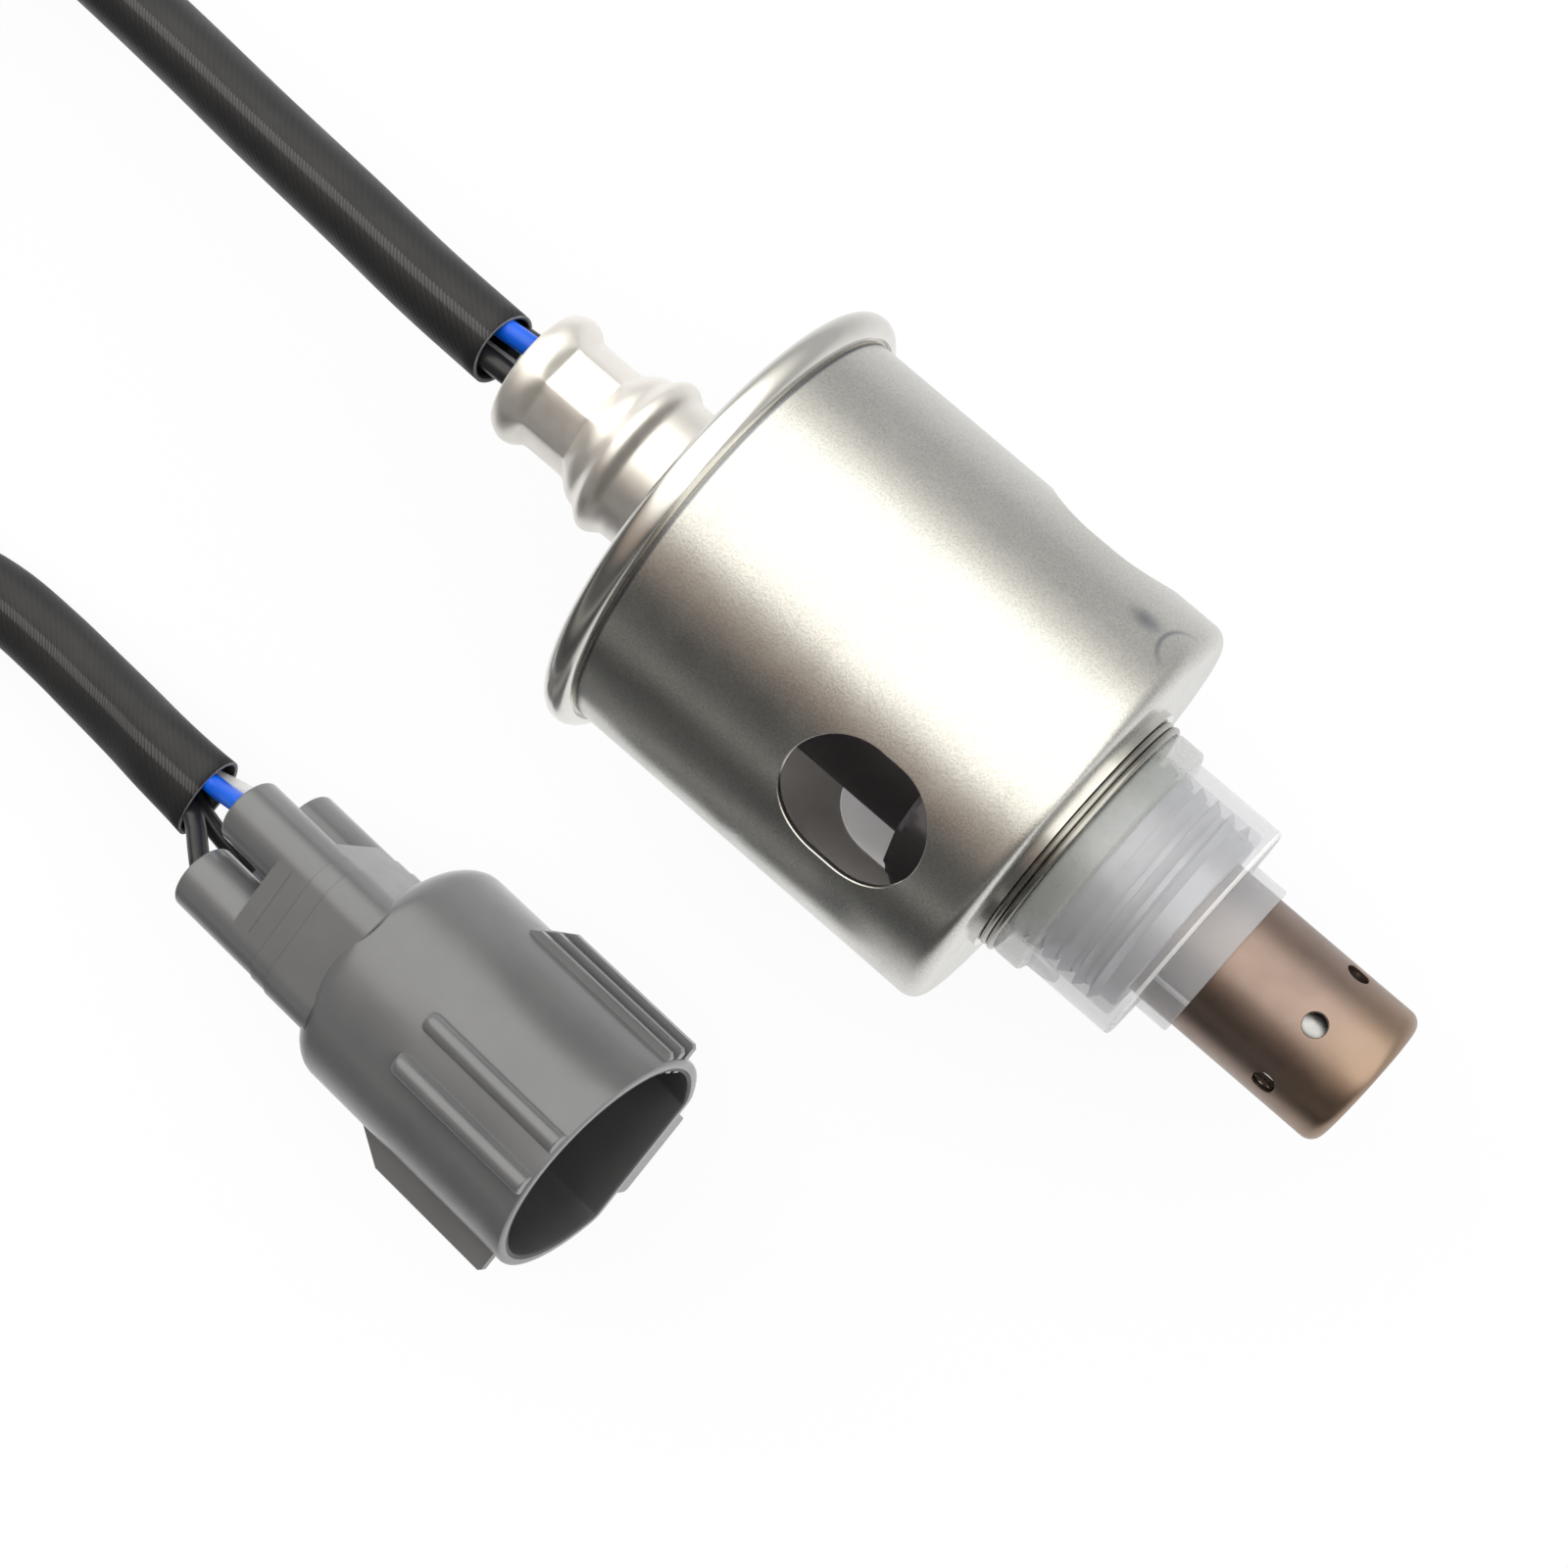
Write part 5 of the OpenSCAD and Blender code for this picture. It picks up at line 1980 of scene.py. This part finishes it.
@dataclass
class ThreadCap:
    """Milky cap over the thread: skirt, tube, front face and a collar on the tip."""

    axis: SensorAxis
    start: float = 1.82 * MM
    skirt_end: float = 4.5 * MM
    front: float = 13.0 * MM
    collar_end: float = 16.2 * MM
    inner_r: float = 9.15 * MM
    outer_r: float = 10.3 * MM
    skirt_r: float = 11.05 * MM
    collar_r: float = 7.15 * MM
    bore_r: float = 6.46 * MM
    face: float = 1.0 * MM
    rib_roll: float = -29.0
    lug_roll: float = -58.0
    rib_half: float = 0.22 * MM
    lug_half: float = 1.35 * MM
    lug_len: float = 2.7 * MM

    def build(self) -> Object:
        """Builds the cap with its mould rib and lug.

        Returns:
            The cap.
        """
        outline = rounded(
            [
                (self.inner_r, self.start, 0.15 * MM),
                (self.skirt_r, self.start, 0.3 * MM),
                (self.skirt_r, self.skirt_end - 0.2 * MM, 0.4 * MM),
                (self.outer_r, self.skirt_end + 0.1 * MM, 0.15 * MM),
                (self.outer_r, self.front, 0.35 * MM),
                (self.collar_r, self.front, 0.2 * MM),
                (self.collar_r, self.collar_end, 0.2 * MM),
                (self.bore_r, self.collar_end, 0.1 * MM),
                (self.bore_r, self.front - self.face, 0.1 * MM),
                (self.inner_r, self.front - self.face, 0.3 * MM),
            ]
        )
        shape = Shape()
        shape.add_rows(self.axis.lathe(outline, 160), loop_rows=True)
        self._rib(shape)
        self._lug(shape)
        cap = shape.build("milky_thread_cap", [CAP.build(), CAP_SKIRT.build(), CAP_EDGE.build()], sharp=50)
        for polygon in cap.data.polygons:
            radius, along = self.axis.measure(polygon.center)
            if along < self.skirt_end + 0.1 * MM:
                polygon.material_index = 1
            elif self.front - self.face * 0.9 < along < self.front + 0.1 * MM and radius > self.inner_r:
                polygon.material_index = 2
        return settle(cap, "milky_plastic", "protective_cap")

    def _rib(self, shape: Shape) -> None:
        """Adds the thin mould rib along the collar.

        Args:
            shape: what the faces go into.
        """
        rows = []
        for along in (self.front - 0.1 * MM, self.front + 0.2 * MM, self.collar_end - 0.2 * MM, self.collar_end):
            top = self.collar_r + (self.rib_half if self.front < along < self.collar_end else 0.05 * MM)
            turns = np.array([-1.0, -0.6, 0.6, 1.0]) * self.rib_half / self.collar_r + math.radians(self.rib_roll)
            foot = self.collar_r - 0.1 * MM
            radii = np.array([foot, top, top, foot])
            rows.append(self.axis.place(radii, turns, along + 0 * turns))
        shape.add_bar(rows)

    def _lug(self, shape: Shape) -> None:
        """Adds the low arched lug on the tube.

        Args:
            shape: what the faces go into.
        """
        steps = np.linspace(0, math.pi, 17)
        rows = []
        for lift, share in ((-0.2, 1.0), (0.30, 1.0), (0.38, 0.9)):
            across = self.lug_half * share * np.cos(steps)
            along = self.skirt_end + 0.2 * MM + self.lug_len * share * np.sin(steps)
            height = self.outer_r + lift * MM
            rows.append(self.axis.place(height, across / height + math.radians(self.lug_roll), along))
        shape.add_bar(rows)


@dataclass
class Gasket:
    """Folded sheet gasket with two round edges."""

    axis: SensorAxis
    start: float = 0.5 * MM
    thick: float = 1.25 * MM
    inner_r: float = 9.0 * MM
    outer_r: float = 11.3 * MM

    def build(self) -> Object:
        """Builds the gasket as two round folds.

        Returns:
            The gasket.
        """
        fold = self.thick / 4
        outline = [(self.inner_r, self.start + self.thick), (self.inner_r, self.start)]
        outline += arc((self.outer_r - fold, self.start + fold), fold, -90, 75, 10)
        outline += [(self.outer_r - fold * 1.3, self.start + self.thick / 2)]
        outline += arc((self.outer_r - fold, self.start + self.thick - fold), fold, -75, 90, 10)
        shape = Shape()
        shape.add_rows(self.axis.lathe(outline, 160), loop_rows=True)
        # the gasket's dark steel is partly painted shade of the gap it sits in
        gasket = shape.build("folded_gasket", [GASKET_SHADED_STEEL.build()], sharp=50)
        return settle(gasket, "gasket_steel", "crush_gasket")


# The plug


@dataclass
class Plug:
    """Grey plug housing: wire tubes, joining block, domed socket shell, guide ribs and lug."""

    place: Spot = (-25.65 * MM, -49.62 * MM, 0.0)
    heading: float = math.radians(1.06)
    lug_h: float = 2.85 * MM
    lug_half: float = 4.5 * MM
    lug_len: float = 4.0 * MM
    lug_back: float = 0.4 * MM
    pitch: float = math.atan2(2.85, 22.9)
    radius: float = 11.85 * MM
    length: float = 27.3 * MM
    wall: float = 1.3 * MM
    back_wall: float = 7.0 * MM
    axis_z: float = 9.5 * MM
    foot_r: float = 2.0 * MM
    dome: float = 3.2 * MM
    dome_over: float = 0.1 * MM
    tube_r: float = 3.2 * MM
    tube_bore: float = 2.5 * MM
    tube_len: float = 15.6 * MM
    tube_short: float = 1.1 * MM
    tube_y: float = 3.7 * MM
    tube_low: float = 9.2 * MM
    tube_high: float = 17.2 * MM
    web_len: float = 9.0 * MM
    block_len: float = 7.2 * MM
    collar_step: float = 1.9 * MM
    collar_grow: float = 0.12 * MM
    sleeve_mouth: Spot = (-21.8 * MM, 0.3 * MM, 12.8 * MM)
    rib_r: float = 1.0 * MM
    rib_rise: float = 0.3 * MM
    rib_angle: float = 10.8
    rib_mid: float = 3.0
    rib_len: float = 16.0 * MM
    rib_gap: float = 0.15 * MM
    side_rib_len: float = 17.0 * MM
    side_rib_gap: float = 0.25 * MM
    side_rib_z: float = 11.4 * MM
    side_rib_pitch: float = 1.7 * MM
    side_rib_h: float = 0.5 * MM
    side_rib_step: float = 0.45 * MM
    side_rib_slant: float = 1.6
    side_rib_root: float = 1.6 * MM
    side_rib_half: float = 0.45 * MM
    side_rib_ease: float = 0.12 * MM
    lone_rib_h: float = 2.15 * MM
    lone_rib_gap: float = 1.8 * MM
    pieces: list[Object] = field(default_factory=list)

    def at(self, point: np.ndarray) -> np.ndarray:
        """Place in the shared frame of a point of the plug.

        Args:
            point: one point or many in the plug's own frame.

        Returns:
            The same in the shared frame.
        """
        point = np.asarray(point, float)
        cos, sin = math.cos(self.pitch), math.sin(self.pitch)
        x = point[..., 0] * cos - point[..., 2] * sin
        z = point[..., 0] * sin + point[..., 2] * cos
        turn_cos, turn_sin = math.cos(self.heading), math.sin(self.heading)
        y = point[..., 1]
        x, y = x * turn_cos - y * turn_sin, x * turn_sin + y * turn_cos
        return np.stack([x, y, z], axis=-1) + self.place

    def tube_place(self, tube: int) -> np.ndarray:
        """Rear end of a wire tube's middle line: 0 and 1 are above, 0 and 3 on the +Y side.

        Args:
            tube: the tube's number.

        Returns:
            The end's place in the plug's own frame.
        """
        high = tube < 2
        return np.array(
            [
                -self.tube_len + (0 if high else self.tube_short),
                self.tube_y if tube in (0, 3) else -self.tube_y,
                self.tube_high if high else self.tube_low,
            ]
        )

    def section(self, inset: float, steps: int = 96) -> np.ndarray:
        """Outline across the shell: round above, flat below, with rounded lower corners.

        Args:
            inset: how far inside the outer face.
            steps: points over the round top.

        Returns:
            Y and Z of the points.
        """
        foot_y = math.sqrt((self.radius - self.foot_r) ** 2 - (self.axis_z - self.foot_r) ** 2)
        tangent = math.degrees(math.atan2(self.foot_r - self.axis_z, foot_y))
        small = self.foot_r - inset
        outline = arc((0.0, self.axis_z), self.radius - inset, tangent, 180 - tangent, steps)
        outline += arc((-foot_y, self.foot_r), small, 180 - tangent, 270, 12)
        outline += [(-foot_y + foot_y * 2 * k / 10, inset) for k in range(1, 10)]
        outline += arc((foot_y, self.foot_r), small, -90, tangent, 12)
        return np.array(outline[:-1])

    def ring(self, x: float, inset: float, dome: float = 0.0) -> np.ndarray:
        """One row of points across the shell at x, pulled in where the rear is domed.

        Args:
            x: place along the plug.
            inset: how far inside the outer face.
            dome: length of the domed rear.

        Returns:
            The points.
        """
        outline = self.section(inset)
        if dome:
            reach = np.linalg.norm(outline - (0.0, self.axis_z), axis=1)
            share = min(max(x, 0.0), dome)
            rise = math.sqrt(max(dome**2 - (dome - share) ** 2, 0.0))
            limit = self.radius + self.dome_over - inset - dome + rise
            pull = np.minimum(1.0, limit / reach)[:, None]
            outline = outline * pull + (0.0, self.axis_z) * (1 - pull)
        return self.at(np.column_stack([np.full(len(outline), x), outline]))

    def build(self) -> None:
        """Builds the housing and keeps it for the lead."""
        shape = Shape()
        self._shell(shape)
        self._tubes_block(shape)
        self._lug(shape)
        body = shape.build("housing_body", [PLUG_PLASTIC.build(), PLUG_PAINTED_SHADE.build()], sharp=38)
        parts = [body, self._wire_tubes(True), self._wire_tubes(False), self._side_ribs(), self._lone_rib()]
        parts += [self._top_rib(self.rib_mid + side * self.rib_angle) for side in (-1, 1)]
        housing = join_pieces("plug_shell_and_tubes", parts)
        self.pieces.append(settle(housing, "plug_plastic", "plug_housing"))
        for name, finish in (("plug_blades", TERMINAL), ("plug_seals", SEAL), ("plug_retainer", RETAINER)):
            dress_node(name, finish)

    def _shell(self, shape: Shape) -> None:
        """Adds the socket's wall with its domed rear, rounded mouth and inside, the inside in a darker plastic as
        painted shade.

        Args:
            shape: what the faces go into.
        """
        rows = []
        for turn in np.linspace(0, math.pi / 2, 10):
            rows.append(self.ring(self.dome * (1 - math.cos(turn)), 0.0, self.dome))
        for x in np.linspace(self.dome, self.length - 0.3 * MM, 12)[1:]:
            rows.append(self.ring(x, 0.0))
        for inset, back in ((0.08, 0.10), (0.22, 0.02), (0.45, 0.0), (0.85, 0.0), (1.08, 0.02), (1.22, 0.10)):
            rows.append(self.ring(self.length - back * MM, inset * MM))
        shape.add_rows(np.array(rows[:-2]))
        shape.add_face(rows[0][::-1])
        rows = [*rows[-3:], self.ring(self.length - 0.3 * MM, self.wall)]
        for x in np.linspace(self.length - 3 * MM, self.back_wall + 0.5 * MM, 6):
            rows.append(self.ring(x, self.wall))
        rows.append(self.ring(self.back_wall + 0.12 * MM, self.wall + 0.12 * MM))
        rows.append(self.ring(self.back_wall, self.wall + 0.5 * MM))
        # painted shade: the socket's inside takes the darker plastic
        shape.add_rows(np.array(rows), slot=1)
        shape.add_face(rows[-1], slot=1)

    def _prism(self, shape: Shape, outline: Outline, start: float, end: float, ease: float) -> None:
        """Adds an outline in Y and Z run along X with eased ends.

        Args:
            shape: what the faces go into.
            outline: the section's corners.
            start: its rear end.
            end: its front end.
            ease: how far the ends are drawn in.
        """
        flat = np.array(outline)
        middle = flat.mean(axis=0)
        half = (flat.max(axis=0) - flat.min(axis=0)) / 2
        rows = []
        for x, inset in ((start, ease), (start + ease, 0.0), (end - ease, 0.0), (end, ease)):
            points = middle + (flat - middle) * (1 - inset / half)
            rows.append(self.at(np.column_stack([np.full(len(points), x), points])))
        shape.add_bar(rows)

    def _tubes_block(self, shape: Shape) -> None:
        """Adds the web between the tubes and the block that joins them, with its two collars.

        Args:
            shape: what the faces go into.
        """
        low, high = self.tube_low - self.tube_r, self.tube_high + self.tube_r
        web = [(-self.tube_y, low), (self.tube_y, low), (self.tube_y, high), (-self.tube_y, high)]
        self._prism(shape, web, -self.web_len, -self.block_len + 0.15 * MM, 0.15 * MM)
        for i in range(3):
            grow = self.collar_grow * i
            side, turn = self.tube_y + self.tube_r + grow, self.tube_r + grow
            corners = [(-side, low - grow), (side, low - grow), (side, high + grow), (-side, high + grow)]
            block = rounded([(y, z, turn) for y, z in corners], 14)
            self._prism(shape, block, self.collar_step * i - self.block_len, 2 * MM, 0.1 * MM)

    def _lug(self, shape: Shape) -> None:
        """Adds the rest lug under the socket's front.

        Args:
            shape: what the faces go into.
        """
        half, low, top, turn = self.lug_half, -self.lug_h, 0.8 * MM, 0.5 * MM
        block = rounded([(-half, low, turn), (half, low, turn), (half, top, 0.0), (-half, top, 0.0)])
        start = self.length - self.lug_back - self.lug_len
        self._prism(shape, block, start, start + self.lug_len, 0.0)

    def _wire_tubes(self, high: bool) -> Object:
        """Builds one row of two wire tubes with open, rounded ends.

        Args:
            high: whether it is the upper row.

        Returns:
            The two tubes.
        """
        tube = self.tube_place(1 if high else 2)
        outer, inner = 0.3 * MM - self.block_len - tube[0], -tube[0]
        wide = self.tube_bore + 0.3 * MM
        outline = rounded(
            [
                (self.tube_bore, 0.0, 0.2 * MM),
                (self.tube_r, 0.0, 0.35 * MM),
                (self.tube_r, outer, 0.0),
                (wide, outer + 0.3 * MM, 0.0),
                (wide, inner, 0.0),
                (self.tube_bore, inner, 0.0),
            ]
        )
        turns = np.arange(64) * 2 * math.pi / 64
        radius, along = np.array(outline).T[:, :, None]
        rows = np.stack([along + 0 * turns, radius * np.cos(turns), radius * np.sin(turns)], axis=-1)
        shape = Shape()
        shape.add_rows(self.at(tube + rows), loop_rows=True)
        piece = shape.build("wire_tube", [PLUG_PLASTIC.build()])
        step = self.at(np.array((0.0, 2 * self.tube_y, 0.0))) - self.at(np.zeros(3))
        return finish_mesh("wire_tubes", TREES.run(piece, Tree.ROW, PLUG_PLASTIC, Count=2, Step=tuple(step)))

    def _side_ribs(self) -> Object:
        """Builds the three thin ribs on the +Y side, stepped outwards downwards.

        Returns:
            The ribs.
        """
        shape = Shape()
        for i in range(3):
            height = self.side_rib_h + self.side_rib_step * i
            self._fin(shape, 1, self.side_rib_z - self.side_rib_pitch * i, height, self.side_rib_gap)
        return shape.build("side_ribs", [PLUG_PLASTIC.build()])

    def _lone_rib(self) -> Object:
        """Builds the single rib on the -Y side.

        Returns:
            The rib.
        """
        shape = Shape()
        self._fin(shape, -1, self.side_rib_z, self.lone_rib_h, self.lone_rib_gap)
        return shape.build("lone_rib", [PLUG_PLASTIC.build()])

    def _fin(self, shape: Shape, side: int, z: float, height: float, gap: float) -> None:
        """Adds a flat fin with a slanted start to a side of the shell.

        Args:
            shape: what the faces go into.
            side: 1 for +Y and -1 for -Y.
            z: place above the floor side.
            height: how far it stands out.
            gap: distance from the socket's mouth.
        """
        root, half, ease, length = self.side_rib_root, self.side_rib_half, self.side_rib_ease, self.side_rib_len
        foot = self.radius - root
        start = self.length - gap - length
        top = root + height
        slant = self.side_rib_slant * height
        blunt = 0.3 * MM
        outline = [(0.0, 0.0), (length, 0.0), (length, top - blunt), (length - blunt, top), (slant, top), (0.0, root)]
        rows = []
        for lift, inset in ((-half, ease), (-half + ease, 0.0), (half - ease, 0.0), (half, ease)):
            row = []
            for x, y in outline:
                out = max(y - inset, 0.0) if y > root else y
                row.append((start + x + (inset if x < 0.01 * MM else 0.0), side * (foot + out), z + lift))
            rows.append(self.at(np.array(row)))
        shape.add_bar(rows)

    def _top_rib(self, angle: float) -> Object:
        """Builds a guide rib with a rounded crown and a scooped rear end.

        Args:
            angle: degrees from the top towards +Y.

        Returns:
            The rib.
        """
        end = self.length - self.rib_gap
        start = end - self.rib_len
        turns = np.linspace(0, math.pi, 15)
        across = np.concatenate([[-self.rib_r], -self.rib_r * np.cos(turns), [self.rib_r]])
        rise = np.concatenate([[-1.0 * MM], self.rib_rise + self.rib_r * np.sin(turns), [-1.0 * MM]])
        cos, sin = math.cos(math.radians(angle)), math.sin(math.radians(angle))
        scoop = [(0.0, 0.0), (0.1, 0.45), (0.35, 0.76), (0.7, 0.94), (1.1, 1.0)]
        ends = [(start + x * MM, share) for x, share in scoop]
        ends += [(end - x * MM, share) for x, share in ((0.35, 1.0), (0.1, 0.92), (0.0, 0.8))]
        rows = []
        for x, share in ends:
            out = self.radius + np.where(rise > 0, rise * share, rise)
            width = across * (0.5 + 0.5 * min(1.0, share + 0.08))
            y, z = width * cos + out * sin, self.axis_z + out * cos - width * sin
            rows.append(self.at(np.column_stack([np.full(len(y), x), y, z])))
        shape = Shape()
        shape.add_bar(rows)
        return shape.build("guide_rib", [PLUG_PLASTIC.build()], sharp=50)


INNER_NODES: dict[str, Finish] = {
    "retaining_ring": RING_STEEL,
    "inner_protector": INNER_STEEL,
    "sensing_element": CERAMIC,
    "heater_rod": CERAMIC,
    "talc_ring": TALC,
    "ceramic_ring": CERAMIC,
    "crimp_ring": SHELL_STEEL,
    "ceramic_insulator": CERAMIC,
    "contact_terminals": TERMINAL,
    "filter_sleeve": FILTER,
    "rubber_grommet": RUBBER,
    "coil_tie": RUBBER,
}


def main() -> None:
    """Builds the camera, the plug, the lead, the sensor and the room, in that order."""
    logging.basicConfig(level=logging.INFO, format="%(name)s %(message)s")
    bpy.context.scene.view_settings.view_transform = "Standard"
    Camera().build()
    axis = SensorAxis()
    plug = Plug()
    plug.build()
    Lead(axis, plug).build()
    HeatShield(SensorAxis(aside=0.35 * MM)).build()
    RearCover(axis).build()
    ThreadedShell(axis).build()
    Tip(axis).build()
    ThreadCap(axis).build()
    Gasket(axis).build()
    for name, finish in INNER_NODES.items():
        dress_node(name, finish)
    Studio().build()


if __name__ == "__main__":
    main()
